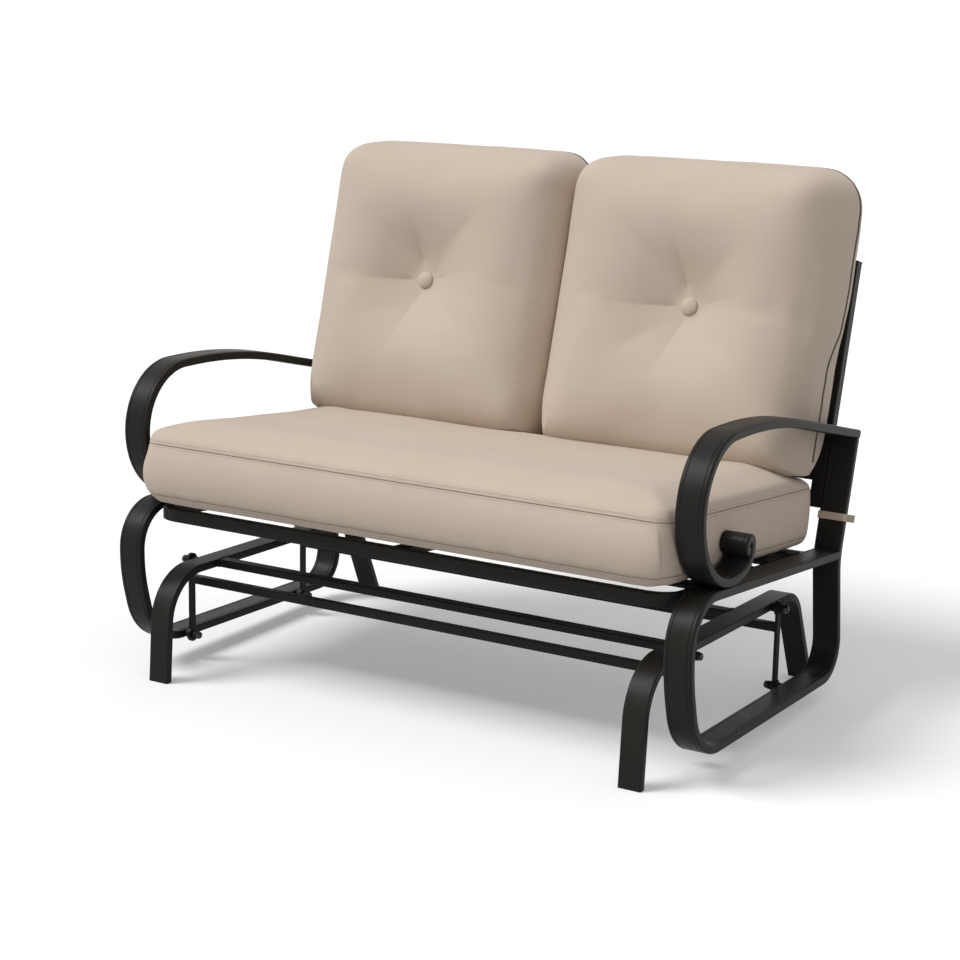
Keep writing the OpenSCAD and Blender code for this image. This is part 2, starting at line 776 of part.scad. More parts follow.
module back_slats() {
  color(frame_colour) on_back()
    for (i = [0:back_slats_n - 1])
      translate([(i + 1 / 2) * back_slat_pitch - rail_half, back_slat_low,
          back_tube_d * (1 / 2 - back_slat_share) - post_setback])
        rotate([-90, 0, 0]) linear_extrude(back_slat_len)
          flat_section(slat_w, slat_t, seat_tube_r);
}

// Frame bolts go outwards through the seat frame and the posts into the side loops
frame_bolt_drop = tube_t / 4;
seat_bolt_at = [slat_at(1 / 2), slat_at(seat_slats_n - 3 / 2)];
back_bolt_at = [back_post_low + back_tube_w, back_low_rail + 2 * back_tube_w];

// Sets its children at every bolt of the right side, z outwards from the loop's inner face;
// $grip is the thickness of the tube that the bolt passes first
module seat_bolt_places() {
  $grip = seat_tube_d;
  on_seat() for (y = seat_bolt_at)
    translate([loop_in_x, y, -frame_bolt_drop]) rotate([0, 90, 0]) children();
}

module back_bolt_places() {
  $grip = back_tube_w;
  on_back() for (up = back_bolt_at)
    translate([loop_in_x, up, -post_setback / 3]) rotate([0, 90, 0]) children();
}

module frame_bore() {
  translate([0, 0, -$grip - cut_over])
    cylinder(r = frame_bolt_r + hole_clear, h = $grip + 2 * cut_over);
}

module frame_bolt() {
  translate([0, 0, -$grip - frame_head_t]) cylinder(d = frame_head_af / cos(30), h = frame_head_t, $fn = 6);
  translate([0, 0, -$grip - frame_head_t / 2])
    cylinder(r = frame_bolt_r, h = $grip + frame_head_t / 2 + frame_bolt_hold);
}

module frame_bolts() {
  color(steel_colour) both_sides() {
    seat_bolt_places() frame_bolt();
    back_bolt_places() frame_bolt();
  }
}

// Cushions

module cushion(table, a, b, r, roll, boxing, crown, c, tuft) {
  rings = len(table);
  rim = cushion_points(table, a, b, r, roll, boxing, crown, c, tuft);
  under = len(rim);
  over = under + 1;
  points = concat(rim, [[c[0], c[1], 0],
    [c[0], c[1], roll + boxing + crown - tuft * tuft_depth]]);
  sides = [for (k = [0:rings - 2], i = [0:ring_n - 1])
    let (j = (i + 1) % ring_n, low = k * ring_n, high = low + ring_n)
    each [[low + i, high + i, high + j], [low + i, high + j, low + j]]];
  bottom = [for (i = [0:ring_n - 1]) [under, i, (i + 1) % ring_n]];
  top = [for (i = [0:ring_n - 1]) let (k = (rings - 1) * ring_n)
    [over, k + (i + 1) % ring_n, k + i]];
  polyhedron(points, concat(sides, bottom, top), convexity = 4);
}

module seat_cushion() {
  color(fabric_colour) on_seat()
    translate([0, seat_cushion_len / 2 - seat_cushion_over, slat_t + seat_clear])
      cushion(box_rings, seat_cushion_half, seat_cushion_len / 2, seat_cushion_r, seat_roll,
        seat_boxing, seat_crown, [0, 0], 0);
}

module back_cushion() {
  on_back() translate([back_cushion_x, back_cushion_mid, back_cushion_stand])
    cushion(pillow_rings, back_cushion_half, back_cushion_h / 2, back_cushion_r, back_roll,
      0, back_crown, tuft_at, 1);
}

module right_back_cushion() {
  color(fabric_colour) back_cushion();
}

module left_back_cushion() {
  color(fabric_colour) mirror([1, 0, 0]) back_cushion();
}

// A covered button: a low dome on a flat back, clear of the bottom of the tuft
dome_share = 0.75;
dome_t = button_t * dome_share;
dome_r = (pow(button_r, 2) + pow(dome_t, 2)) / (2 * dome_t);

module button() {
  rotate_extrude() intersection() {
    square([button_r, button_t]);
    translate([0, button_t - dome_r]) circle(dome_r);
  }
}

module cushion_buttons() {
  color(fabric_colour) both_sides() on_back()
    translate([back_cushion_x + button_out, back_cushion_low + button_up,
        back_cushion_stand + back_cushion_t - tuft_depth + seat_clear]) button();
}

// Tie strap: a band round the upright with a loose tail outside it
tie_wrap = tube_edge_r + seat_clear;

module tie_strap() {
  on_back() translate([loop_mid_x, tie_up, 0]) rotate([-90, 0, 0]) {
    linear_extrude(tie_w, center = true) difference() {
      flat_ring(seat_clear + tie_t);
      flat_ring(seat_clear);
    }
    translate([tube_w / 2 + seat_clear, -tie_t / 2, -tie_w / 2]) cube([tie_tail, tie_t, tie_w]);
  }
}

// The upright's section laid across, grown by a distance
module flat_ring(by) {
  flat_section(tube_w + 2 * by, tube_t + 2 * by, tube_edge_r + by);
}

module right_tie_strap() {
  color(fabric_colour) tie_strap();
}

module left_tie_strap() {
  color(fabric_colour) mirror([1, 0, 0]) tie_strap();
}

left_base_frame();
right_base_frame();
front_base_crossbar();
rear_base_crossbar();
foot_caps();
upper_pivot_bolts();
front_left_link();
front_right_link();
front_yoke_bar();
front_link_bushes();
rear_left_link();
rear_right_link();
rear_yoke_bar();
rear_link_bushes();
left_side_loop();
right_side_loop();
left_armrest();
right_armrest();
seat_frame();
seat_rear_rail();
seat_centre_bar();
seat_slats();
left_back_post();
right_back_post();
back_top_rail();
back_lower_rail();
back_slats();
post_caps();
lower_pivot_bolts();
frame_bolts();
seat_cushion();
left_back_cushion();
right_back_cushion();
cushion_buttons();
left_tie_strap();
right_tie_strap();
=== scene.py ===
"""Glider bench: dresses the CAD frame with painted steel, sewn cushions and a studio."""

import json
import math

import bmesh
import bpy
from mathutils import Matrix, Vector, noise
from mathutils.bvhtree import BVHTree


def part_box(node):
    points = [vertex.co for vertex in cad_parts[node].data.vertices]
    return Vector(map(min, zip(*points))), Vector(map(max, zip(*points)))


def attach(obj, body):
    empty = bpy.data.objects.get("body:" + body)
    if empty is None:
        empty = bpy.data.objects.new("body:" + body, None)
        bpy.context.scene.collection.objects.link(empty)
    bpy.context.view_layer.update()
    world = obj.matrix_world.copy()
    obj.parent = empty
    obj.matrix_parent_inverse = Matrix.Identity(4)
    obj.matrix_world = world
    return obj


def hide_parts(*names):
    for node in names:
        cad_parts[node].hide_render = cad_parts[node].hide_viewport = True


bl_info = {
    "name": "Glider bench",
    "version": (1, 0, 0),
    "blender": (4, 5, 0),
    "location": "View3D > Sidebar > Glider bench",
    "description": "Painted steel, sewn cushions and a studio for the glider bench",
    "category": "Add Mesh",
}

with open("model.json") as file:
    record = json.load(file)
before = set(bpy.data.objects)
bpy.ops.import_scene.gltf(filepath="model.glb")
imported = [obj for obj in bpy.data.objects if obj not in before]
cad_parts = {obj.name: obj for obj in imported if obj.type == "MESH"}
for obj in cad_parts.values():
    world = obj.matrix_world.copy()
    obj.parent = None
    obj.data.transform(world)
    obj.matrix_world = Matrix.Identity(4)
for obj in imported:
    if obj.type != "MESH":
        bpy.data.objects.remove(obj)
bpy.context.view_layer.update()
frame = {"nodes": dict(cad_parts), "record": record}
NODES = frame["nodes"]

# Places taken from the frame: the front of the front feet and the side loops' inner faces
FEET_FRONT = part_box("foot_caps")[0][1]
LOOP_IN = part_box("right_side_loop")[0][0]
SEAT_BODY = "seat"


# Small helpers


def mix(a, b, t):
    return a + (b - a) * t


def smooth_step(t):
    t = max(0.0, min(1.0, t))
    return t * t * (3.0 - 2.0 * t)


def linked(obj):
    bpy.context.scene.collection.objects.link(obj)
    return obj


def mesh_object(name, points, faces, edges=()):
    """A new object at the origin with its place in its mesh."""
    mesh = bpy.data.meshes.new(name)
    mesh.from_pydata([tuple(p) for p in points], list(edges), faces)
    mesh.update()
    return linked(bpy.data.objects.new(name, mesh))


def recalculated(obj):
    """Merges doubles and turns the faces of a closed mesh outwards."""
    bm = bmesh.new()
    bm.from_mesh(obj.data)
    bmesh.ops.remove_doubles(bm, verts=bm.verts, dist=1e-6)
    bmesh.ops.recalc_face_normals(bm, faces=bm.faces)
    bm.to_mesh(obj.data)
    bm.free()
    obj.data.update()
    return obj


def shaded_smooth(obj):
    obj.data.polygons.foreach_set("use_smooth", [True] * len(obj.data.polygons))
    obj.data.update()
    return obj


def made_plain(obj):
    """The evaluated shape of obj as a plain mesh object that takes its place."""
    depsgraph = bpy.context.evaluated_depsgraph_get()
    mesh = bpy.data.meshes.new_from_object(
        obj.evaluated_get(depsgraph), preserve_all_data_layers=True, depsgraph=depsgraph
    )
    name = obj.name
    old = obj.data
    bpy.data.objects.remove(obj)
    if old.users == 0:
        bpy.data.meshes.remove(old)
    mesh.name = name
    return linked(bpy.data.objects.new(name, mesh))


def only_material(obj, material):
    obj.data.materials.clear()
    obj.data.materials.append(material)
    return obj


# Shader groups and materials


class Nodes:
    """A short way to place and join shader nodes in a tree."""

    def __init__(self, tree):
        self.tree = tree

    def add(self, kind, inputs=None, **settings):
        node = self.tree.nodes.new(kind)
        for key, value in settings.items():
            setattr(node, key, value)
        for key, value in (inputs or {}).items():
            self.feed(node.inputs[key], value)
        return node

    def feed(self, socket, value):
        """Joins a socket to another one, or sets its value."""
        if isinstance(value, bpy.types.NodeSocket):
            self.tree.links.new(value, socket)
        else:
            socket.default_value = value

    def maths(self, operation, *values):
        return self.add("ShaderNodeMath", dict(enumerate(values)), operation=operation).outputs[0]

    def blend(self, factor, a, b):
        """A colour between a and b."""
        return self.add("ShaderNodeMix", {0: factor, 6: a, 7: b}, data_type="RGBA").outputs[2]


def group_tree(name, inputs, outputs):
    """A shader node group with named inputs, given as (name, socket, default), and outputs."""
    tree = bpy.data.node_groups.new(name, "ShaderNodeTree")
    for label, kind, default in inputs:
        socket = tree.interface.new_socket(label, in_out="INPUT", socket_type=kind)
        if default is not None:
            socket.default_value = default
    for label, kind in outputs:
        tree.interface.new_socket(label, in_out="OUTPUT", socket_type=kind)
    n = Nodes(tree)
    return tree, n, n.add("NodeGroupInput"), n.add("NodeGroupOutput")


def rubbed_finish_group():
    """Uneven colour, gloss and height of a painted, plated or moulded surface."""
    tree, n, given, out = group_tree(
        "Rubbed finish",
        [
            ("Place", "NodeSocketVector", None),
            ("Colour", "NodeSocketColor", (0.1, 0.1, 0.1, 1.0)),
            ("Rubbed Colour", "NodeSocketColor", (0.2, 0.2, 0.2, 1.0)),
            ("Roughness", "NodeSocketFloat", 0.4),
            ("Grain Scale", "NodeSocketFloat", 900.0),
            ("Rub", "NodeSocketFloat", 0.2),
        ],
        [("Colour", "NodeSocketColor"), ("Roughness", "NodeSocketFloat"), ("Height", "NodeSocketFloat")],
    )
    place = given.outputs["Place"]
    grain = n.add(
        "ShaderNodeTexNoise",
        {"Vector": place, "Scale": given.outputs["Grain Scale"], "Detail": 2.0, "Roughness": 0.5},
    ).outputs["Fac"]
    cloud = n.add(
        "ShaderNodeTexNoise", {"Vector": place, "Scale": 14.0, "Detail": 5.0, "Roughness": 0.62}
    ).outputs["Fac"]
    patch = n.add("ShaderNodeMapRange", {"Value": cloud, "From Min": 0.52, "From Max": 0.78}).outputs[0]
    rub = n.maths("MULTIPLY", patch, given.outputs["Rub"])
    colour = n.blend(rub, given.outputs["Colour"], given.outputs["Rubbed Colour"])
    spread = n.maths("MULTIPLY", n.maths("SUBTRACT", cloud, 0.5), 0.22)
    fine = n.maths("MULTIPLY", n.maths("SUBTRACT", grain, 0.5), 0.1)
    rough = n.maths("ADD", n.maths("ADD", given.outputs["Roughness"], spread), fine)
    n.tree.links.new(colour, out.inputs["Colour"])
    n.tree.links.new(rough, out.inputs["Roughness"])
    n.tree.links.new(grain, out.inputs["Height"])
    return tree


def weave_group():
    """Height and tone of a plain weave whose yarns cross along three directions of its place."""
    tree, n, given, out = group_tree(
        "Plain weave",
        [
            ("Place", "NodeSocketVector", None),
            ("Yarns Per Metre", "NodeSocketFloat", 520.0),
            ("Slub", "NodeSocketFloat", 0.35),
        ],
        [("Height", "NodeSocketFloat"), ("Tone", "NodeSocketFloat")],
    )
    place = given.outputs["Place"]
    wobble = n.add(
        "ShaderNodeTexNoise", {"Vector": place, "Scale": 60.0, "Detail": 2.0}
    ).outputs["Color"]
    wobble = n.add("ShaderNodeVectorMath", {0: wobble, 1: (0.5, 0.5, 0.5)}, operation="SUBTRACT").outputs[0]
    wobble = n.add("ShaderNodeVectorMath", {0: wobble, "Scale": 0.0016}, operation="SCALE").outputs[0]
    place = n.add("ShaderNodeVectorMath", {0: place, 1: wobble}, operation="ADD").outputs[0]
    parts = n.add("ShaderNodeSeparateXYZ", {0: place})
    waves = []
    for axis in range(3):
        angle = n.maths("MULTIPLY", parts.outputs[axis], given.outputs["Yarns Per Metre"])
        waves.append(n.maths("SINE", n.maths("MULTIPLY", angle, 2.0 * math.pi)))
    crossed = n.maths("MULTIPLY", waves[0], n.maths("ADD", waves[1], waves[2]))
    height = n.maths("MULTIPLY_ADD", crossed, 0.25, 0.5)
    slub = n.add(
        "ShaderNodeTexNoise", {"Vector": place, "Scale": 240.0, "Detail": 3.0, "Roughness": 0.7}
    ).outputs["Fac"]
    tone = n.maths("MULTIPLY", n.maths("SUBTRACT", slub, 0.5), given.outputs["Slub"])
    n.tree.links.new(n.maths("ADD", height, tone), out.inputs["Height"])
    n.tree.links.new(tone, out.inputs["Tone"])
    return tree


def new_material(name):
    material = bpy.data.materials.new(name)
    material.use_nodes = True
    material.node_tree.nodes.clear()
    n = Nodes(material.node_tree)
    surface = n.add("ShaderNodeBsdfPrincipled")
    out = n.add("ShaderNodeOutputMaterial")
    n.tree.links.new(surface.outputs[0], out.inputs["Surface"])
    return material, n, surface


def sees_background(n):
    """1 for the rays that show the pale background: from the camera, off gloss or through glass."""
    path = n.add("ShaderNodeLightPath").outputs
    bent = n.maths("MAXIMUM", path["Is Glossy Ray"], path["Is Transmission Ray"])
    return n.maths("MAXIMUM", path["Is Camera Ray"], bent)


def rubbed_material(name, colour, rubbed, roughness, metallic, rub, grain_scale, grain_depth, coat=0.0):
    """A painted, plated or moulded material made with the rubbed finish group."""
    material, n, surface = new_material(name)
    place = n.add("ShaderNodeTexCoord").outputs["Object"]
    finish = n.add(
        "ShaderNodeGroup",
        {
            "Place": place,
            "Colour": colour,
            "Rubbed Colour": rubbed,
            "Roughness": roughness,
            "Grain Scale": grain_scale,
            "Rub": rub,
        },
        node_tree=SHARED["rubbed"],
    )
    n.tree.links.new(finish.outputs["Colour"], surface.inputs["Base Color"])
    n.tree.links.new(finish.outputs["Roughness"], surface.inputs["Roughness"])
    surface.inputs["Metallic"].default_value = metallic
    surface.inputs["Coat Weight"].default_value = coat
    surface.inputs["Coat Roughness"].default_value = 0.3
    surface.inputs["Specular IOR Level"].default_value = 0.10
    bump = n.add("ShaderNodeBump", {"Height": finish.outputs["Height"], "Distance": grain_depth})
    bump.inputs["Strength"].default_value = 0.5
    n.tree.links.new(bump.outputs[0], surface.inputs["Normal"])
    return material


def cloth_material(name, colour, shade, turn=0.0, yarns=520.0):
    """Woven cloth. turn leans the weave about X, as the piece leans."""
    material, n, surface = new_material(name)
    coords = n.add("ShaderNodeTexCoord").outputs["Object"]
    mapping = n.add("ShaderNodeMapping", {"Vector": coords}, vector_type="TEXTURE")
    mapping.inputs["Rotation"].default_value = (turn, 0.0, 0.0)
    place = mapping.outputs[0]
    weave = n.add(
        "ShaderNodeGroup",
        {"Place": place, "Yarns Per Metre": yarns, "Slub": 0.35},
        node_tree=SHARED["weave"],
    )
    cloud = n.add(
        "ShaderNodeTexNoise", {"Vector": place, "Scale": 7.0, "Detail": 4.0, "Roughness": 0.55}
    ).outputs["Fac"]
    low = n.maths("MULTIPLY", n.maths("SUBTRACT", cloud, 0.5), 0.3)
    tone = n.maths("ADD", n.maths("MULTIPLY", weave.outputs["Height"], 0.35), low)
    n.tree.links.new(n.blend(tone, colour, shade), surface.inputs["Base Color"])
    rough = n.maths("MULTIPLY_ADD", weave.outputs["Tone"], 0.3, 0.86)
    n.tree.links.new(rough, surface.inputs["Roughness"])
    surface.inputs["Sheen Weight"].default_value = 0.12
    surface.inputs["Sheen Roughness"].default_value = 0.55
    surface.inputs["Specular IOR Level"].default_value = 0.25
    bump = n.add("ShaderNodeBump", {"Height": weave.outputs["Height"], "Distance": WEAVE_DEPTH})
    bump.inputs["Strength"].default_value = 0.45
    n.tree.links.new(bump.outputs[0], surface.inputs["Normal"])
    return material


WEAVE_DEPTH = 0.0004
BAR_CORNER = 0.0025
BEAD_PITCH = 0.0018
BEAD_RADIUS = 0.0016
SHARED = {}
MATERIALS = {}
TREES = {}


# Geometry node trees


def geometry_tree(name, inputs):
    """A geometry node tree with a geometry input and output and named inputs."""
    tree = bpy.data.node_groups.new(name, "GeometryNodeTree")
    tree.interface.new_socket("Geometry", in_out="INPUT", socket_type="NodeSocketGeometry")
    for label, kind, default in inputs:
        socket = tree.interface.new_socket(label, in_out="INPUT", socket_type=kind)
        if default is not None:
            socket.default_value = default
    tree.interface.new_socket("Geometry", in_out="OUTPUT", socket_type="NodeSocketGeometry")
    n = Nodes(tree)
    return n, n.add("NodeGroupInput"), n.add("NodeGroupOutput")


def finished_tree(n, geometry, given, out):
    """Ends a tree: makes its instances real and gives the shape its material."""
    real = n.add("GeometryNodeRealizeInstances", {"Geometry": geometry})
    paint = n.add(
        "GeometryNodeSetMaterial", {"Geometry": real.outputs[0], "Material": given.outputs["Material"]}
    )
    n.tree.links.new(paint.outputs[0], out.inputs["Geometry"])
    return n.tree


def laid_along(n, given, shape, **more):
    """Copies of a shape a pitch apart along the path of edges, turned the way that it runs."""
    curve = n.add("GeometryNodeMeshToCurve", {"Mesh": given.outputs["Geometry"]})
    points = n.add(
        "GeometryNodeCurveToPoints",
        {"Curve": curve.outputs[0], "Length": given.outputs["Pitch"]},
        mode="LENGTH",
    )
    lay = n.add("FunctionNodeAlignRotationToVector", {"Vector": points.outputs["Tangent"]}, axis="Z")
    inputs = {"Points": points.outputs["Points"], "Instance": shape, "Rotation": lay.outputs[0]}
    return n.add("GeometryNodeInstanceOnPoints", {**inputs, **more}).outputs[0]


def welt_tree():
    """A round welt along a path of edges."""
    n, given, out = geometry_tree(
        "Welt",
        [
            ("Radius", "NodeSocketFloat", 0.002),
            ("Sides", "NodeSocketInt", 8),
            ("Material", "NodeSocketMaterial", None),
        ],
    )
    curve = n.add("GeometryNodeMeshToCurve", {"Mesh": given.outputs["Geometry"]})
    ring = n.add(
        "GeometryNodeCurvePrimitiveCircle",
        {"Resolution": given.outputs["Sides"], "Radius": given.outputs["Radius"]},
    )
    tube = n.add("GeometryNodeCurveToMesh", {"Curve": curve.outputs[0], "Profile Curve": ring.outputs[0]})
    tube.inputs["Fill Caps"].default_value = True
    return finished_tree(n, tube.outputs[0], given, out)


def stitch_tree():
    """Short stitches laid end to end, with a gap, along a path of edges."""
    n, given, out = geometry_tree(
        "Stitches",
        [
            ("Pitch", "NodeSocketFloat", 0.006),
            ("Length", "NodeSocketFloat", 0.004),
            ("Radius", "NodeSocketFloat", 0.0004),
            ("Material", "NodeSocketMaterial", None),
        ],
    )
    stitch = n.add(
        "GeometryNodeMeshCylinder",
        {"Vertices": 5, "Radius": given.outputs["Radius"], "Depth": given.outputs["Length"]},
    )
    return finished_tree(n, laid_along(n, given, stitch.outputs["Mesh"]), given, out)


def weld_tree():
    """A weld bead: drops that overlap along a path of edges."""
    n, given, out = geometry_tree(
        "Weld bead",
        [
            ("Pitch", "NodeSocketFloat", BEAD_PITCH),
            ("Radius", "NodeSocketFloat", BEAD_RADIUS),
            ("Material", "NodeSocketMaterial", None),
        ],
    )
    drop = n.add("GeometryNodeMeshIcoSphere", {"Radius": given.outputs["Radius"], "Subdivisions": 2})
    size = n.add("FunctionNodeRandomValue", {2: 0.85, 3: 1.1}, data_type="FLOAT")
    placed = laid_along(n, given, drop.outputs["Mesh"], Scale=size.outputs[1])
    return finished_tree(n, placed, given, out)


def along_path(name, paths, tree, closed, **values):
    """A mesh made by a geometry tree along paths of points."""
    points, edges = [], []
    for path in paths:
        start = len(points)
        points += [tuple(p) for p in path]
        edges += [(start + i, start + i + 1) for i in range(len(path) - 1)]
        if closed:
            edges.append((start + len(path) - 1, start))
    obj = mesh_object(name, points, [], edges)
    modifier = obj.modifiers.new(name, "NODES")
    modifier.node_group = tree
    for item in tree.interface.items_tree:
        if item.item_type == "SOCKET" and item.in_out == "INPUT" and item.name in values:
            modifier[item.identifier] = values[item.name]
    return shaded_smooth(made_plain(obj))


# Cushion forms


class Pad:
    """A box cushion's own frame: x across, y up its face and z out of it."""

    def __init__(self, node, origin, turn, half_x, half_y, corner, roll, boxing, thick, middle_x=0.0):
        self.node = node
        self.turn = turn
        self.half_x = half_x
        self.half_y = half_y
        self.corner = corner
        self.roll = roll
        self.boxing = boxing
        self.thick = thick
        self.place = Matrix.Translation(origin) @ Matrix.Rotation(turn, 4, "X") @ Matrix.Translation(
            Vector((middle_x, 0.0, 0.0))
        )
        self.back = self.place.inverted()

    def outline(self, height):
        """Points round the cushion's sides, at a height above its base."""
        r = self.corner
        a, b = self.half_x - r, self.half_y - r
        centres = ((a, b), (-a, b), (-a, -b), (a, -b))
        bends = max(6, int(r * math.pi / 2 / SEAM_STEP))
        points = []
        for k, (cx, cy) in enumerate(centres):
            for i in range(bends + 1):
                angle = math.pi / 2 * (k + i / bends)
                points.append((cx + r * math.cos(angle), cy + r * math.sin(angle)))
            nx, ny = centres[(k + 1) % 4]
            corner = math.pi / 2 * (k + 1)
            end = (nx + r * math.cos(corner), ny + r * math.sin(corner))
            start = points[-1]
            parts = max(2, int(math.dist(start, end) / SEAM_STEP))
            for i in range(1, parts):
                points.append((mix(start[0], end[0], i / parts), mix(start[1], end[1], i / parts)))
        return [self.place @ Vector((x, y, height)) for x, y in points]

    def edge_distance(self, p):
        """How far in from the outline a point in the pad's own frame lies, across its face."""
        dx = abs(p.x) - (self.half_x - self.corner)
        dy = abs(p.y) - (self.half_y - self.corner)
        if dx > 0 and dy > 0:
            return self.corner - math.hypot(dx, dy)
        return self.corner - max(dx, dy)


def bare_copy(node, name):
    """A merged copy of a CAD node's mesh."""
    mesh = NODES[node].data.copy()
    mesh.name = name
    mesh.materials.clear()
    return recalculated(linked(bpy.data.objects.new(name, mesh)))


def applied(obj, kind, **settings):
    modifier = obj.modifiers.new(kind, kind)
    for key, value in settings.items():
        setattr(modifier, key, value)
    return made_plain(obj)


def puffed(pad, name, give, hold, limit, soften):
    """The CAD cushion remeshed and swollen as cloth, by the share of each direction in give. hold
    gives a vertex's pin weight, and limit keeps its new place clear of what the cushion lies on.
    soften is how many times the cloth is evened out away from its pins."""
    s = sizes()
    obj = bare_copy(pad.node, name)
    obj = applied(obj, "REMESH", mode="VOXEL", voxel_size=s.voxel)
    obj = applied(obj, "SMOOTH", factor=0.5, iterations=10)
    rest = [v.co.copy() for v in obj.data.vertices]
    weights = [hold(pad.back @ p) for p in rest]
    moved = rest
    group = obj.vertex_groups.new(name="held")
    for index, weight in enumerate(weights):
        if weight > 0.01:
            group.add([index], weight, "REPLACE")
    cloth = obj.modifiers.new("Cloth", "CLOTH")
    cloth.settings.quality = 4
    cloth.settings.mass = 0.3
    cloth.settings.tension_stiffness = 12.0
    cloth.settings.compression_stiffness = 12.0
    cloth.settings.shear_stiffness = 4.0
    cloth.settings.bending_stiffness = 0.4
    cloth.settings.use_pressure = True
    cloth.settings.uniform_pressure_force = s.pressure
    cloth.settings.effector_weights.gravity = 0.0
    cloth.settings.vertex_group_mass = "held"
    cloth.collision_settings.use_collision = False
    cloth.collision_settings.use_self_collision = False
    cloth.point_cache.frame_start = 1
    cloth.point_cache.frame_end = CLOTH_FRAMES
    scene = bpy.context.scene
    for number in range(1, CLOTH_FRAMES + 1):
        scene.frame_set(number)
    depsgraph = bpy.context.evaluated_depsgraph_get()
    shape = obj.evaluated_get(depsgraph).to_mesh()
    moved = [v.co.copy() for v in shape.vertices]
    obj.evaluated_get(depsgraph).to_mesh_clear()
    obj.modifiers.remove(cloth)
    scene.frame_set(1)
    for vertex, before, after in zip(obj.data.vertices, rest, moved):
        start = pad.back @ before
        step = Vector(a * b for a, b in zip(pad.back @ after - start, give))
        far = step.length
        if far > 1e-9:
            step *= s.cap * math.tanh(far / s.cap) / far
        vertex.co = pad.place @ limit(start + step)
    obj.data.update()
    obj.vertex_groups.clear()
    loose = obj.vertex_groups.new(name="loose")
    for index, weight in enumerate(weights):
        loose.add([index], max(0.0, 1.0 - weight), "REPLACE")
    obj = applied(obj, "SMOOTH", factor=0.5, iterations=soften, vertex_group="loose")
    obj.vertex_groups.clear()
    obj = applied(obj, "SMOOTH", factor=0.4, iterations=2)
    obj = applied(obj, "SUBSURF", levels=1, render_levels=1)
    return shaded_smooth(obj)


def tuft_place(side):
    """Where the button lies across and up a back cushion's face."""
    out = BACK_CUSHION["out"] if side == "right" else -BACK_CUSHION["out"]
    return Vector((out, BACK_CUSHION["up"] - BACK_CUSHION["height"] / 2, 0.0))


def fold_depth(across, up):
    """How deep the folds lie at a place measured from the button, with soft lumps between them."""
    away = math.hypot(across, up)
    if away < 1e-6:
        return 0.0
    depth = 0.0
    for degrees, reach, deep, narrow in FOLDS:
        way = math.radians(degrees)
        along = across * math.cos(way) + up * math.sin(way)
        if along <= 0.0:
            continue
        beside = (up * math.cos(way) - across * math.sin(way)) / (narrow + FOLD_SPREAD * along)
        ends = smooth_step((away - BUTTON_RIM) / BUTTON_FADE) * math.exp(-((along / reach) ** 2))
        bank = BANK_HEIGHT * math.exp(-((beside / BANK_WIDTH) ** 2))
        depth += deep * ends * (math.exp(-FOLD_SHARPNESS * abs(beside)) - bank)
    return depth


def folded(obj, pad, tuft, depth_scale, waist):
    """Presses the folds of a buttoned face into the cloth and draws its sides in beside the button."""
    for vertex in obj.data.vertices:
        p = pad.back @ vertex.co
        face = smooth_step((p.z - pad.thick / 2) / FACE_RUN)
        across, up = p.x - tuft.x, p.y - tuft.y
        away = math.hypot(across, up)
        cad_fold = CAD_FOLD * math.cos(2 * math.atan2(up, across)) ** 2
        cad_fold *= math.exp(-(((away - CAD_FOLD_AWAY) / CAD_FOLD_REACH) ** 2))
        p.z += face * (cad_fold - depth_scale * fold_depth(across, up))
        p.z += FACE_SWELL * face * (1.0 - math.exp(-((away / FACE_SWELL_AWAY) ** 2)))
        rim = smooth_step((abs(p.x) - pad.half_x + WAIST_RIM) / WAIST_RIM)
        p.x -= math.copysign(waist * rim * math.exp(-((up / WAIST_REACH) ** 2)), p.x)
        vertex.co = pad.place @ p
    obj.data.update()
    return obj


def reshaped(obj, pad, change):
    """Moves each vertex by a change that is worked out in the pad's own frame."""
    for vertex in obj.data.vertices:
        vertex.co = pad.place @ change(pad.back @ vertex.co)
    obj.data.update()
    return obj


def outward(pad, p):
    """The way out from the middle of the face, square to the outline near a point."""
    dx = max(abs(p.x) - (pad.half_x - pad.corner), 0.0)
    dy = max(abs(p.y) - (pad.half_y - pad.corner), 0.0)
    way = Vector((math.copysign(dx, p.x), math.copysign(dy, p.y), 0.0))
    return way.normalized() if way.length > 1e-6 else way


def squarer(pad, p, share):
    """A point near a corner of the outline, moved outwards towards a square corner."""
    dx = abs(p.x) - (pad.half_x - pad.corner)
    dy = abs(p.y) - (pad.half_y - pad.corner)
    if dx > 0.0 and dy > 0.0:
        grow = share * (math.hypot(dx, dy) / max(dx, dy) - 1.0)
        p.x += math.copysign(dx * grow, p.x)
        p.y += math.copysign(dy * grow, p.y)
    return p


def rumpled(obj, pad, seams, height):
    """Soft puckers that fade away from the seams, and a faint unevenness everywhere."""
    normals = [v.normal.copy() for v in obj.data.vertices]
    for vertex, normal in zip(obj.data.vertices, normals):
        p = pad.back @ vertex.co
        if p.z < FLAT_BASE:
            continue
        near = max(math.exp(-abs(p.z - h) / PUCKER_HEIGHT) for h in seams)
        near *= smooth_step((PUCKER_IN - pad.edge_distance(p)) / PUCKER_FADE)
        pucker = noise.noise(Vector((p.x * PUCKERS, p.y * PUCKERS, p.z * PUCKERS_UP)))
        swell = noise.noise(p * SWELLS + SWELL_START)
        vertex.co += normal * height * (PUCKER_SHARE * near * pucker + SWELL_SHARE * swell)
    obj.data.update()
    return obj


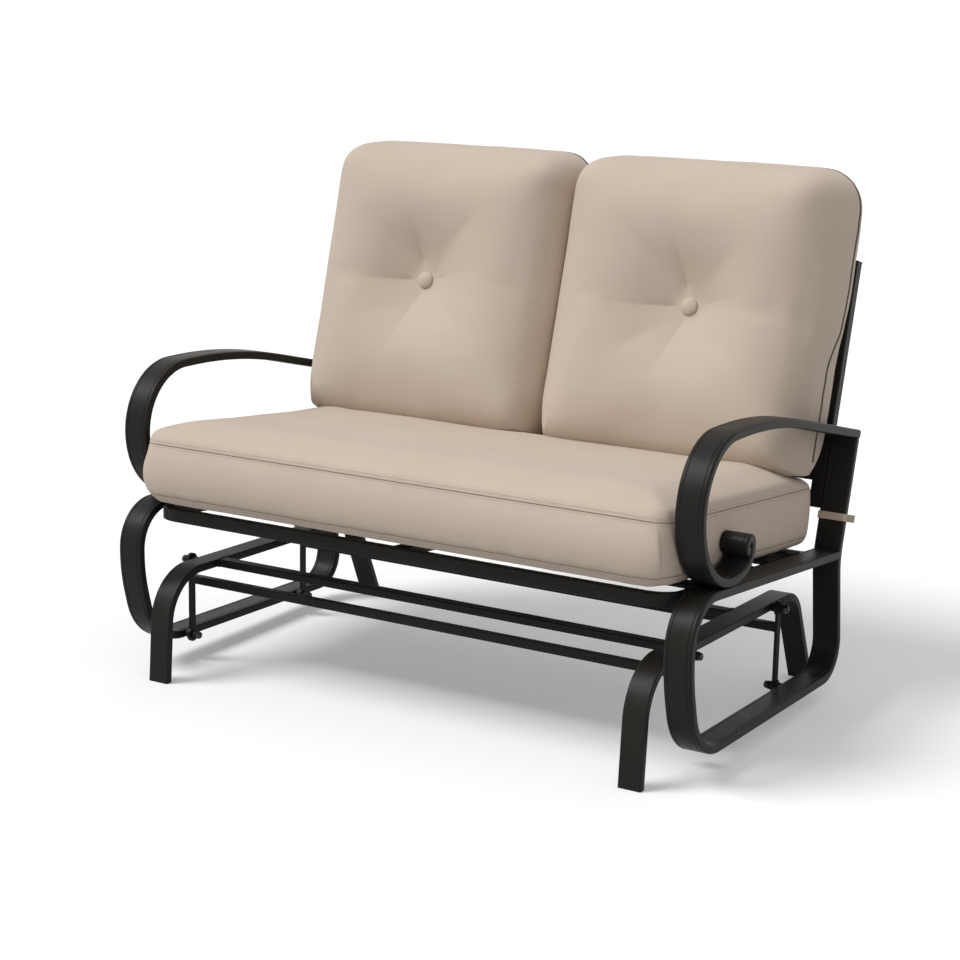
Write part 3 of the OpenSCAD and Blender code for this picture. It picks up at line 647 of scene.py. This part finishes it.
def grooved(obj, pad, heights, width, depth):
    """Draws the cloth in at the seams, which run round the boxing at heights above the base."""
    for vertex in obj.data.vertices:
        p = pad.back @ vertex.co
        if pad.edge_distance(p) > GROOVE_IN:
            continue
        pull = sum(math.exp(-(((p.z - h) / width) ** 2)) for h in heights)
        vertex.co = pad.place @ (p - outward(pad, p) * depth * min(1.0, pull))
    obj.data.update()
    return obj


# Sizes and colours that a user would change


COLOUR = {"subtype": "COLOR", "size": 4, "min": 0.0, "max": 1.0}


class BenchColours(bpy.types.PropertyGroup):
    paint: bpy.props.FloatVectorProperty(
        name="Paint",
        description="Colour of the powder coat on the tubes",
        default=(0.0155, 0.0137, 0.0118, 1.0),
        **COLOUR,
    )
    paint_rubbed: bpy.props.FloatVectorProperty(
        name="Rubbed paint",
        description="Colour of the powder coat where it is rubbed or dusty",
        default=(0.029, 0.026, 0.0225, 1.0),
        **COLOUR,
    )
    fabric: bpy.props.FloatVectorProperty(
        name="Fabric",
        description="Light yarn of the cushion cloth",
        default=(0.600, 0.500, 0.412, 1.0),
        **COLOUR,
    )
    fabric_shade: bpy.props.FloatVectorProperty(
        name="Fabric shade",
        description="Dark yarn of the cushion cloth",
        default=(0.420, 0.345, 0.280, 1.0),
        **COLOUR,
    )
    welt: bpy.props.FloatVectorProperty(
        name="Welt",
        description="Colour of the dark binding round the back cushions",
        default=(0.120, 0.100, 0.082, 1.0),
        **COLOUR,
    )


class CushionSizes(bpy.types.PropertyGroup):
    seat_fall: bpy.props.FloatProperty(
        name="Seat fall",
        description="Fall of the seat towards the back",
        subtype="ANGLE",
        default=math.radians(5.2),
    )
    back_lean: bpy.props.FloatProperty(
        name="Back lean",
        description="Lean of the back from upright",
        subtype="ANGLE",
        default=math.radians(15.3),
    )
    voxel: bpy.props.FloatProperty(
        name="Mesh size", description="Size of the cloth's mesh", unit="LENGTH", default=0.006
    )
    pressure: bpy.props.FloatProperty(
        name="Pressure", description="Pressure that swells the cushions", default=4.0
    )
    cap: bpy.props.FloatProperty(
        name="Swelling", description="The farthest that the cloth swells", unit="LENGTH", default=0.012
    )
    fold: bpy.props.FloatProperty(
        name="Folds", description="Strength of the folds round the buttons", default=1.0
    )
    waist: bpy.props.FloatProperty(
        name="Waist", description="How far the sides are drawn in beside a button", unit="LENGTH",
        default=0.001,
    )
    rumple: bpy.props.FloatProperty(
        name="Rumple", description="Height of the puckers in the cloth", unit="LENGTH", default=0.0016
    )
    welt_radius: bpy.props.FloatProperty(
        name="Welt radius", description="Radius of the back cushions' binding", unit="LENGTH",
        default=0.0026,
    )
    # The seat's seam lines are thin tubes in a darker cloth: painted shade along the seam grooves
    seam_radius: bpy.props.FloatProperty(
        name="Seam radius", description="Radius of the seat cushion's sewn edge", unit="LENGTH",
        default=0.0009,
    )
    stitch_pitch: bpy.props.FloatProperty(
        name="Stitch pitch", description="Distance between stitches", unit="LENGTH", default=0.006
    )


class StudioSettings(bpy.types.PropertyGroup):
    lens: bpy.props.FloatProperty(
        name="Lens", description="Focal length in millimetres on a 36 mm sensor", default=80.25
    )
    yaw: bpy.props.FloatProperty(
        name="Yaw", description="Turn of the view to the left", subtype="ANGLE", default=math.radians(30.91)
    )
    pitch: bpy.props.FloatProperty(
        name="Pitch", description="Tilt of the view downwards", subtype="ANGLE", default=math.radians(13.07)
    )
    roll: bpy.props.FloatProperty(
        name="Roll", description="Roll of the camera", subtype="ANGLE", default=math.radians(1.03)
    )
    place: bpy.props.FloatVectorProperty(
        name="Place",
        description="Camera place from the middle of the bench, its front feet and the floor",
        unit="LENGTH",
        size=3,
        default=(2.0106, -3.0183, 1.3077),
    )
    key: bpy.props.FloatProperty(name="Key light", description="Strength of the key light", default=2.3)
    key_way: bpy.props.FloatVectorProperty(
        name="Key way", description="Direction in which the key light shines", size=3,
        default=(0.46, 0.42, -0.78),
    )
    softness: bpy.props.FloatProperty(
        name="Softness", description="Angle that the key light fills", subtype="ANGLE",
        default=math.radians(27.0),
    )
    sky: bpy.props.FloatProperty(name="Sky", description="Strength of the even light", default=0.48)
    shadow_lift: bpy.props.FloatProperty(
        name="Shadow lift", description="How much the floor's shadow is lightened in the picture",
        default=0.245,
    )
    bounce: bpy.props.FloatProperty(
        name="Bounce", description="How pale the floor is to the light that reaches the bench", default=0.5
    )


def colours():
    return bpy.context.scene.bench_colours


def sizes():
    return bpy.context.scene.bench_cushions


def darker(colour, share):
    return tuple(v * share for v in colour[:3]) + (1.0,)


def grey(tone):
    return (tone, tone, tone, 1.0)


# Places and shapes of the cushions in the frame, in metres

KINK_BEHIND_FEET = 0.6466
KINK_HEIGHT = 0.268
SEAT_FRONT = 0.045
SEAT_HEIGHT = 0.332
SLAT_TOP = 0.0093
SEAT_CUSHION = {
    "length": 0.633, "over": 0.034, "thick": 0.138, "roll": 0.16, "boxing": 0.67, "corner": 0.036,
}
BACK_CUSHION = {
    "height": 0.548, "low": 0.155, "thick": 0.200, "roll": 0.11, "boxing": 0.0, "corner": 0.058,
    "up": 0.273, "out": 0.019,
}
# How far the CAD cushions stand out beyond their seams, as a share of their corners
BULGE = 0.085
# How far each cushion swells across, along and out of its face, as shares
SEAT_GIVE = (1.0, 0.8, 0.7)
BACK_GIVE = (0.8, 0.5, 1.0)
TUFT_DEPTH = 0.045
# How many times the cloth is evened out away from its pins, and the frames that it swells for
SEAT_EVENING = 12
BACK_EVENING = 40
CLOTH_FRAMES = 20
# How near a seam or the base the cloth is pinned
PIN_REACH = 0.012
PIN_WIDTH = 0.007
# The cloth's gap from the loops and armrests, and from the bench's middle
LOOP_GAP = 0.0006
MIDDLE_GAP = 0.0009
# Height from which the back cushions stand out over the armrests, how soon and how far
ARM_TOP = 0.610
ARM_BLEND = 0.14
OVER_ARMS = 0.026
# How far behind the front feet the seat cushion may bulge out before the armrests, and by how much
FRONT_BULGE_DEPTH = 0.030
BEFORE_ARMS = 0.008
BEFORE_ARMS_BLEND = 0.012
# Room for the seat cushion's swell over its seam to seam thickness
TOP_ROOM = 0.012
# Where the back cushions begin to lie on the seat cushion, up its own face
UNDER_BACK = 0.170
UNDER_BACK_RUN = 0.120
# The seat cushion's top: the height it starts from and its blend, as shares of the thickness, its
# lift, and the roll that runs inside its rim
TOP_FROM = 0.75
TOP_BLEND = 0.15
TOP_LIFT = 0.010
ROLL_LIFT = 0.009
ROLL_IN = 0.070
ROLL_WIDTH = 0.060
# How far the seat cushion's front and its front ends belly out, and how its low corners round up
FRONT_BELLY = 0.013
FRONT_RUN = 0.060
END_BELLY = 0.016
END_RUN = 0.040
CORNER_LIFT = 0.010
CORNER_HEIGHT = 0.050
# How far the back cushions' lower ends come down, as a share of the distance out from their backs
LOW_WEDGE = 0.150
LOW_WEDGE_RUN = 0.12
# How square the back cushions' lower corners are filled
SQUARE_SHARE = 0.35
# The back cushions' seam, as a share of their thickness, how far it stands out all round, how
# much more over the armrests, and how far the ridge reaches to each side and in across the face
BACK_SEAM = 0.34
BACK_RIDGE = 0.012
BACK_WING = 0.010
RIDGE_WIDTH = 0.055
RIDGE_IN = 0.050
# Width and depth of the groove in the cloth at a seam, and how far in from the outline it ends
SEAT_GROOVE = (0.0030, 0.0010)
BACK_GROOVE = (0.0035, 0.0022)
GROOVE_IN = 0.04
# Puckers beside a seam: height over it, reach in, fade, how many in a metre along and up, strength
PUCKER_HEIGHT = 0.022
PUCKER_IN = 0.075
PUCKER_FADE = 0.06
PUCKERS = 34.0
PUCKERS_UP = 9.0
PUCKER_SHARE = 0.9
# The faint unevenness everywhere but on the flat base: how many in a metre, a start, strength
SWELLS = 8.0
SWELL_START = Vector((3.1, 0.0, 0.0))
SWELL_SHARE = 0.8
FLAT_BASE = 0.004
# Steps along a seam, the thread, and how far welts and stitches lie out of the cloth
SEAM_STEP = 0.006
THREAD_RADIUS = 0.00035
STITCH_SHARE = 0.66
STITCH_LIFT = 0.00015
STITCH_BESIDE = 0.0055
WELT_LIFT = 0.2

# Folds that run out from a tuft: direction in degrees round the button, reach, depth, width near it
FOLDS = ((185.0, 0.130, 0.0090, 0.012), (104.0, 0.115, 0.0110, 0.014), (10.0, 0.120, 0.0040, 0.014),
         (255.0, 0.150, 0.0075, 0.016))
# How a fold widens along its run, its sharpness, the soft banks beside it, and the button's rim
FOLD_SPREAD = 0.30
FOLD_SHARPNESS = 1.3
BANK_HEIGHT = 0.25
BANK_WIDTH = 2.4
BUTTON_RIM = 0.014
BUTTON_FADE = 0.030
# The buttoned face: where it starts, its swell away from the button, and its sides' waist
FACE_RUN = 0.040
FACE_SWELL = 0.008
FACE_SWELL_AWAY = 0.14
WAIST_RIM = 0.110
WAIST_REACH = 0.10
# The cloth round the button's shank that is pinned
SHANK = 0.012
SHANK_FADE = 0.03
# The folds that the CAD cushions already hold, which are evened out again
CAD_FOLD = 0.0058
CAD_FOLD_AWAY = 0.172
CAD_FOLD_REACH = 0.086


def seat_pad():
    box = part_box("seat_cushion")
    s = sizes()
    half_x = (box[1][0] - box[0][0]) / 2 - BULGE * SEAT_CUSHION["corner"]
    origin = Vector((0.0, FEET_FRONT + SEAT_FRONT, SEAT_HEIGHT))
    turn = -s.seat_fall
    lift = Matrix.Rotation(turn, 3, "X") @ Vector(
        (0.0, SEAT_CUSHION["length"] / 2 - SEAT_CUSHION["over"], SLAT_TOP)
    )
    thick = SEAT_CUSHION["thick"]
    return Pad(
        "seat_cushion",
        origin + lift,
        turn,
        half_x,
        SEAT_CUSHION["length"] / 2,
        SEAT_CUSHION["corner"],
        SEAT_CUSHION["roll"] * thick,
        SEAT_CUSHION["boxing"] * thick,
        thick,
    )


def back_pad(side):
    node = side + "_back_cushion"
    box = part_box(node)
    s = sizes()
    half_x = (box[1][0] - box[0][0]) / 2 - BULGE * BACK_CUSHION["corner"]
    origin = Vector((0.0, FEET_FRONT + KINK_BEHIND_FEET, KINK_HEIGHT))
    turn = math.pi / 2 - s.back_lean
    lift = Matrix.Rotation(turn, 3, "X") @ Vector(
        (0.0, BACK_CUSHION["low"] + BACK_CUSHION["height"] / 2, 0.0063)
    )
    thick = BACK_CUSHION["thick"]
    return Pad(
        node,
        origin + lift,
        turn,
        half_x,
        BACK_CUSHION["height"] / 2,
        BACK_CUSHION["corner"],
        BACK_CUSHION["roll"] * thick,
        BACK_CUSHION["boxing"] * thick,
        thick,
        (box[0][0] + box[1][0]) / 2,
    )


# Shares of the even light: all round, a little more from the front and more from the right
SKY_EVEN = 0.97
SKY_FRONT = -0.04
SKY_RIGHT = 0.36
# The floor: its tone in the picture, how far it reaches and how little it lies under the feet
FLOOR_TONE = 0.80
FLOOR_REACH = 40.0
FLOOR_GAP = 0.0005


# Operators


class BENCH_OT_materials(bpy.types.Operator):
    """Makes the materials and paints the CAD nodes that stay in view"""

    bl_idname = "bench.materials"
    bl_label = "Materials"

    def execute(self, context):
        c = colours()
        s = sizes()
        SHARED["rubbed"] = rubbed_finish_group()
        SHARED["weave"] = weave_group()
        MATERIALS["paint"] = rubbed_material(
            "bronze_powder_coat", tuple(c.paint), tuple(c.paint_rubbed),
            roughness=0.42, metallic=0.0, rub=0.5, grain_scale=1400.0, grain_depth=0.00012, coat=0.03,
        )
        MATERIALS["bolt"] = rubbed_material(
            "blackened_bolt", (0.05, 0.048, 0.045, 1.0), (0.2, 0.19, 0.18, 1.0),
            roughness=0.34, metallic=0.8, rub=0.6, grain_scale=900.0, grain_depth=0.0001,
        )
        MATERIALS["plastic"] = rubbed_material(
            "black_moulding", (0.018, 0.018, 0.018, 1.0), (0.06, 0.06, 0.06, 1.0),
            roughness=0.5, metallic=0.0, rub=0.3, grain_scale=700.0, grain_depth=0.0002,
        )
        MATERIALS["seat_cloth"] = cloth_material(
            "seat_cloth", tuple(c.fabric), tuple(c.fabric_shade), turn=-s.seat_fall
        )
        MATERIALS["back_cloth"] = cloth_material(
            "back_cloth", tuple(c.fabric), tuple(c.fabric_shade), turn=math.pi / 2 - s.back_lean
        )
        MATERIALS["welt"] = cloth_material(
            "binding", tuple(c.welt), darker(c.welt, 0.6), yarns=900.0
        )
        # A darker copy of the fabric for the seat cushion's seam lines: the seams are real, their darkness
        # is painted shade along the grooves
        MATERIALS["seam"] = cloth_material(
            "seam", darker(c.fabric, 0.45), darker(c.fabric, 0.3), yarns=900.0
        )
        MATERIALS["thread"] = cloth_material(
            "thread", (0.5, 0.4, 0.31, 1.0), (0.3, 0.24, 0.19, 1.0), yarns=1400.0
        )
        by_slot = {"frame_paint": "paint", "bolt_steel": "bolt", "black_plastic": "plastic"}
        for part in frame["record"]["subparts"]:
            material = by_slot.get(part["material_slot"])
            if material:
                for slot in NODES[part["node"]].material_slots:
                    slot.material = MATERIALS[material]
        return {"FINISHED"}


def seam_hold(pad, seams, p):
    """Pin weight of the seams and of the underside."""
    base = 1.0 - smooth_step(p.z / PIN_REACH)
    if pad.edge_distance(p) >= PIN_REACH:
        return base
    return max(base, *(math.exp(-(((p.z - h) / PIN_WIDTH) ** 2)) for h in seams))


def on_cloth(cloth, path, lift):
    """The path laid on the cloth's surface, a little above it."""
    tree = BVHTree.FromPolygons(
        [v.co for v in cloth.data.vertices], [tuple(f.vertices) for f in cloth.data.polygons]
    )
    laid = []
    for p in path:
        place, normal, _, _ = tree.find_nearest(p)
        laid.append(place + normal * lift)
    return laid


def stitched(name, cloth, pad, heights):
    """Stitch lines that run round a cushion at heights above its base."""
    s = sizes()
    paths = [on_cloth(cloth, pad.outline(h), STITCH_LIFT) for h in heights]
    stitches = along_path(
        name, paths, TREES["stitch"], True,
        Pitch=s.stitch_pitch, Length=s.stitch_pitch * STITCH_SHARE, Radius=THREAD_RADIUS,
        Material=MATERIALS["thread"],
    )
    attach(stitches, SEAT_BODY)
    return stitches


def welted(name, cloth, pad, heights, radius, material):
    """Sewn edges that lie half sunk in the cloth along the seams. On the seat cushion they are real seams
    drawn in a darker cloth, and that darker colour is painted shade along the seam grooves.
    """
    paths = [on_cloth(cloth, pad.outline(h), radius * WELT_LIFT) for h in heights]
    welts = along_path(name, paths, TREES["welt"], True, Radius=radius, Sides=8, Material=material)
    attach(welts, SEAT_BODY)
    return welts


class BENCH_OT_seat_cushion(bpy.types.Operator):
    """Makes the box seat cushion with its two seam lines, whose darker cloth is painted shade along the
    seam grooves, and their stitching
    """

    bl_idname = "bench.seat_cushion"
    bl_label = "Seat cushion"

    def execute(self, context):
        s = sizes()
        pad = seat_pad()
        seams = (pad.roll, pad.roll + pad.boxing)

        def hold(p):
            return seam_hold(pad, seams, p)

        def limit(p):
            p.z = max(p.z, 0.0)
            under_back = smooth_step((p.y - UNDER_BACK) / UNDER_BACK_RUN)
            p.z = min(p.z, pad.thick + TOP_ROOM * (1.0 - under_back))
            before_arms = (pad.place @ p).y < FEET_FRONT + FRONT_BULGE_DEPTH
            side = LOOP_IN + (BEFORE_ARMS if before_arms else -LOOP_GAP)
            p.x = max(-side, min(side, p.x))
            return p

        def fuller(p):
            rim = pad.edge_distance(p)
            belly = math.sin(math.pi * min(1.0, max(0.0, p.z / pad.thick)))
            top = smooth_step((p.z - TOP_FROM * pad.thick) / (TOP_BLEND * pad.thick))
            before_back = 1.0 - smooth_step((p.y - UNDER_BACK) / UNDER_BACK_RUN)
            roll = ROLL_LIFT * math.exp(-(((rim - ROLL_IN) / ROLL_WIDTH) ** 2))
            p.z += top * before_back * (TOP_LIFT + roll)
            front = smooth_step((-p.y - pad.half_y + FRONT_RUN) / FRONT_RUN)
            before_arms = FEET_FRONT + FRONT_BULGE_DEPTH - (pad.place @ p).y
            aside = smooth_step((abs(p.x) - pad.half_x + END_RUN) / END_RUN)
            p.z += CORNER_LIFT * (1.0 - smooth_step(p.z / CORNER_HEIGHT)) * aside * front
            free = smooth_step(before_arms / BEFORE_ARMS_BLEND)
            p.x += math.copysign(END_BELLY * belly * aside * free, p.x)
            p.y -= FRONT_BELLY * belly * front
            return p

        cushion = puffed(pad, "seat_cushion_cloth", SEAT_GIVE, hold, limit, SEAT_EVENING)
        cushion = reshaped(cushion, pad, fuller)
        cushion = rumpled(cushion, pad, seams, s.rumple)
        cushion = grooved(cushion, pad, seams, *SEAT_GROOVE)
        only_material(cushion, MATERIALS["seat_cloth"])
        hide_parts("seat_cushion")
        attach(cushion, SEAT_BODY)
        # Seam lines in a darker cloth: real seams, with painted shade in their grooves
        welted("seat_cushion_seams", cushion, pad, seams, s.seam_radius, MATERIALS["seam"])
        beside = [h + d for h in seams for d in (-STITCH_BESIDE, STITCH_BESIDE)]
        stitched("seat_cushion_stitches", cushion, pad, beside)
        return {"FINISHED"}


class BENCH_OT_back_cushions(bpy.types.Operator):
    """Makes the two buttoned back cushions with their folds and dark binding"""

    bl_idname = "bench.back_cushions"
    bl_label = "Back cushions"

    def execute(self, context):
        s = sizes()
        for side in ("left", "right"):
            pad = back_pad(side)
            seams = (BACK_SEAM * pad.thick,)
            sign = 1.0 if side == "right" else -1.0
            tuft = tuft_place(side)
            middle = abs((pad.place @ Vector((0.0, 0.0, 0.0))).x)

            def hold(p):
                away = math.hypot(p.x - tuft.x, p.y - tuft.y)
                button = 1.0 - smooth_step((away - SHANK) / SHANK_FADE) if p.z > pad.thick / 2 else 0.0
                return max(seam_hold(pad, seams, p), button)

            def above_arms(p):
                return smooth_step(((pad.place @ p).z - ARM_TOP) / ARM_BLEND)

            def limit(p):
                p.z = max(p.z, 0.0)
                p.y = max(p.y, -pad.half_y)
                inner = MIDDLE_GAP - middle
                outer = LOOP_IN - LOOP_GAP + OVER_ARMS * above_arms(p) - middle
                p.x = max(inner, min(outer, p.x * sign)) * sign
                return p

            def seated(p):
                p = squarer(pad, p, SQUARE_SHARE * smooth_step(-p.y / pad.half_y))
                ridge = math.exp(-(((p.z - seams[0]) / RIDGE_WIDTH) ** 2))
                ridge *= smooth_step((RIDGE_IN - pad.edge_distance(p)) / RIDGE_IN)
                wing = BACK_WING * above_arms(p) if p.x * sign > 0.0 else 0.0
                way = outward(pad, p)
                p = limit(p + Vector((way.x * (BACK_RIDGE + wing), way.y * BACK_RIDGE, 0.0)) * ridge)
                low = smooth_step((LOW_WEDGE_RUN - pad.half_y - p.y) / LOW_WEDGE_RUN)
                p.y -= LOW_WEDGE * p.z * low
                return p

            cushion = puffed(pad, side + "_back_cushion_cloth", BACK_GIVE, hold, limit, BACK_EVENING)
            cushion = reshaped(cushion, pad, seated)
            cushion = folded(cushion, pad, tuft, s.fold, s.waist)
            cushion = rumpled(cushion, pad, seams, s.rumple)
            cushion = grooved(cushion, pad, seams, *BACK_GROOVE)
            only_material(cushion, MATERIALS["back_cloth"])
            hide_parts(side + "_back_cushion")
            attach(cushion, SEAT_BODY)
            welted(
                side + "_back_cushion_binding", cushion, pad, seams, s.welt_radius, MATERIALS["welt"]
            )
            stitched(side + "_back_cushion_stitches", cushion, pad, [seams[0] + STITCH_BESIDE])
        return {"FINISHED"}


class BENCH_OT_buttons(bpy.types.Operator):
    """Makes the two covered buttons, gathered at their rims"""

    bl_idname = "bench.buttons"
    bl_label = "Buttons"

    def execute(self, context):
        points, faces = [], []
        rings, around, pleats = 14, 64, 16
        radius, dome, base, pleat_depth = 0.0168, 0.0088, 0.0003, 0.012
        rim_turn, dome_start = math.pi * 0.62, 0.12
        for side in ("left", "right"):
            pad = back_pad(side)
            tuft = tuft_place(side)
            floor_z = pad.thick - TUFT_DEPTH + base
            start = len(points)
            for k in range(rings + 1):
                t = k / rings
                r = radius * math.sin(rim_turn * (1.0 - t))
                rise = math.pi * mix(dome_start, 1.0, t)
                z = floor_z + dome * (0.5 - 0.5 * math.cos(rise))
                for i in range(around):
                    turn = 2.0 * math.pi * i / around
                    ring = r * (1.0 + pleat_depth * math.cos(pleats * turn) * (1.0 - t) ** 2)
                    out = Vector((ring * math.cos(turn), ring * math.sin(turn), z))
                    points.append(pad.place @ (tuft + out))
            for k in range(rings):
                for i in range(around):
                    j = (i + 1) % around
                    a, b = start + k * around, start + (k + 1) * around
                    faces.append((a + i, a + j, b + j, b + i))
            faces.append(tuple(start + i for i in reversed(range(around))))
        buttons = recalculated(mesh_object("covered_buttons", points, faces))
        only_material(shaded_smooth(buttons), MATERIALS["back_cloth"])
        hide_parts("cushion_buttons")
        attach(buttons, SEAT_BODY)
        return {"FINISHED"}


class BENCH_OT_tie_straps(bpy.types.Operator):
    """Makes the webbing straps that tie the seat cushion to the uprights"""

    bl_idname = "bench.tie_straps"
    bl_label = "Tie straps"

    def execute(self, context):
        for side in ("left", "right"):
            strap = bare_copy(side + "_tie_strap", side + "_tie_strap_webbing")
            strap = applied(strap, "BEVEL", width=0.0004, segments=2)
            only_material(strap, MATERIALS["back_cloth"])
            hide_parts(side + "_tie_strap")
            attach(strap, SEAT_BODY)
        return {"FINISHED"}


# Bars that run across the bench, with the body that each rides on
WELDED_BARS = (
    ("front_base_crossbar", "base"),
    ("rear_base_crossbar", "base"),
    ("front_yoke_bar", "front_yoke"),
    ("rear_yoke_bar", "rear_yoke"),
)


def bar_end(box, x, corner):
    """A closed path round a bar's section, at a place x across the bench."""
    low, high = box
    points = []
    spans = ((high[1], high[2]), (low[1], high[2]), (low[1], low[2]), (high[1], low[2]))
    for k, (y, z) in enumerate(spans):
        cy = y - math.copysign(corner, y - (low[1] + high[1]) / 2)
        cz = z - math.copysign(corner, z - (low[2] + high[2]) / 2)
        for i in range(4):
            angle = math.pi / 2 * (k + i / 3)
            points.append(Vector((x, cy + corner * math.cos(angle), cz + corner * math.sin(angle))))
    return points


class BENCH_OT_welds(bpy.types.Operator):
    """Makes the weld beads at the ends of the bars that run across the bench"""

    bl_idname = "bench.welds"
    bl_label = "Weld beads"

    def execute(self, context):
        for node, body in WELDED_BARS:
            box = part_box(node)
            paths = [bar_end(box, x, BAR_CORNER) for x in (box[0][0], box[1][0])]
            beads = along_path(
                node + "_welds", paths, TREES["weld"], True,
                Pitch=BEAD_PITCH, Radius=BEAD_RADIUS, Material=MATERIALS["paint"],
            )
            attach(beads, body)
        return {"FINISHED"}


class BENCH_OT_studio(bpy.types.Operator):
    """Sets the camera, the pale floor and the soft lights"""

    bl_idname = "bench.studio"
    bl_label = "Studio"

    def execute(self, context):
        scene = context.scene
        settings = scene.bench_studio
        yaw, pitch, roll = settings.yaw, settings.pitch, settings.roll
        level = math.cos(pitch)
        ahead = Vector((-math.sin(yaw) * level, math.cos(yaw) * level, -math.sin(pitch)))
        right = Vector((math.cos(yaw), math.sin(yaw), 0.0))
        up = right.cross(ahead)
        right_rolled = math.cos(roll) * right + math.sin(roll) * up
        up_rolled = -math.sin(roll) * right + math.cos(roll) * up
        data = bpy.data.cameras.new("photo_view")
        data.sensor_width = 36.0
        data.lens = settings.lens
        data.clip_end = 60.0
        camera = linked(bpy.data.objects.new("photo_view", data))
        place = Vector(settings.place) + Vector((0.0, FEET_FRONT, 0.0))
        turn = Matrix((right_rolled, up_rolled, -ahead)).transposed().to_4x4()
        camera.matrix_world = Matrix.Translation(place) @ turn
        scene.camera = camera

        ways = ((-1, -1), (1, -1), (1, 1), (-1, 1))
        corners = [(x * FLOOR_REACH, y * FLOOR_REACH, -FLOOR_GAP) for x, y in ways]
        floor = mesh_object("floor", corners, [(0, 1, 2, 3)])
        material, n, surface = new_material("pale_floor")
        seen = sees_background(n)
        n.feed(surface.inputs["Base Color"], n.blend(seen, grey(settings.bounce), grey(FLOOR_TONE)))
        n.feed(surface.inputs["Emission Color"], n.blend(seen, grey(0.0), grey(settings.shadow_lift)))
        surface.inputs["Emission Strength"].default_value = 1.0
        surface.inputs["Roughness"].default_value = 0.9
        surface.inputs["Specular IOR Level"].default_value = 0.0
        only_material(floor, material)

        world = bpy.data.worlds.new("studio")
        scene.world = world
        world.use_nodes = True
        world.node_tree.nodes.clear()
        n = Nodes(world.node_tree)
        seen = sees_background(n)
        way = n.add("ShaderNodeSeparateXYZ", {0: n.add("ShaderNodeTexCoord").outputs["Generated"]})
        front = n.maths("MULTIPLY_ADD", way.outputs["Y"], SKY_FRONT, SKY_EVEN)
        aside = n.maths("MULTIPLY_ADD", way.outputs["X"], SKY_RIGHT, front)
        strength = n.maths("MULTIPLY", aside, settings.sky)
        soft = n.add("ShaderNodeBackground", {"Color": grey(1.0), "Strength": strength})
        white = n.add("ShaderNodeBackground", {"Color": grey(1.0), "Strength": 1.0})
        chosen = n.add("ShaderNodeMixShader", {0: seen, 1: soft.outputs[0], 2: white.outputs[0]})
        out = n.add("ShaderNodeOutputWorld")
        n.tree.links.new(chosen.outputs[0], out.inputs["Surface"])

        light = bpy.data.lights.new("key", "SUN")
        light.energy = settings.key
        light.angle = settings.softness
        key = linked(bpy.data.objects.new("key", light))
        key.rotation_euler = Vector(settings.key_way).to_track_quat("-Z", "Y").to_euler()
        scene.view_settings.view_transform = "Standard"
        return {"FINISHED"}


class BENCH_OT_trees(bpy.types.Operator):
    """Builds the geometry node trees for welts, stitches and weld beads"""

    bl_idname = "bench.trees"
    bl_label = "Welt, stitch and weld trees"

    def execute(self, context):
        TREES["welt"] = welt_tree()
        TREES["stitch"] = stitch_tree()
        TREES["weld"] = weld_tree()
        return {"FINISHED"}


class BENCH_PT_panel(bpy.types.Panel):
    bl_label = "Glider bench"
    bl_idname = "BENCH_PT_panel"
    bl_space_type = "VIEW_3D"
    bl_region_type = "UI"
    bl_category = "Glider bench"

    def draw(self, context):
        for group in ("bench_colours", "bench_cushions", "bench_studio"):
            box = self.layout.box()
            settings = getattr(context.scene, group)
            for name in settings.__annotations__:
                box.prop(settings, name)
        for operator in OPERATORS:
            self.layout.operator(operator.bl_idname)


GROUPS = (
    ("bench_colours", BenchColours),
    ("bench_cushions", CushionSizes),
    ("bench_studio", StudioSettings),
)
OPERATORS = (
    BENCH_OT_studio,
    BENCH_OT_materials,
    BENCH_OT_trees,
    BENCH_OT_seat_cushion,
    BENCH_OT_back_cushions,
    BENCH_OT_buttons,
    BENCH_OT_tie_straps,
    BENCH_OT_welds,
)


def register():
    for name, group in GROUPS:
        bpy.utils.register_class(group)
        setattr(bpy.types.Scene, name, bpy.props.PointerProperty(type=group))
    for operator in OPERATORS:
        bpy.utils.register_class(operator)
    bpy.utils.register_class(BENCH_PT_panel)


def unregister():
    bpy.utils.unregister_class(BENCH_PT_panel)
    for operator in reversed(OPERATORS):
        bpy.utils.unregister_class(operator)
    for name, group in reversed(GROUPS):
        delattr(bpy.types.Scene, name)
        bpy.utils.unregister_class(group)


def main():
    register()
    for operator in OPERATORS:
        family, name = operator.bl_idname.split(".")
        getattr(getattr(bpy.ops, family), name)()


if __name__ == "__main__":
    main()
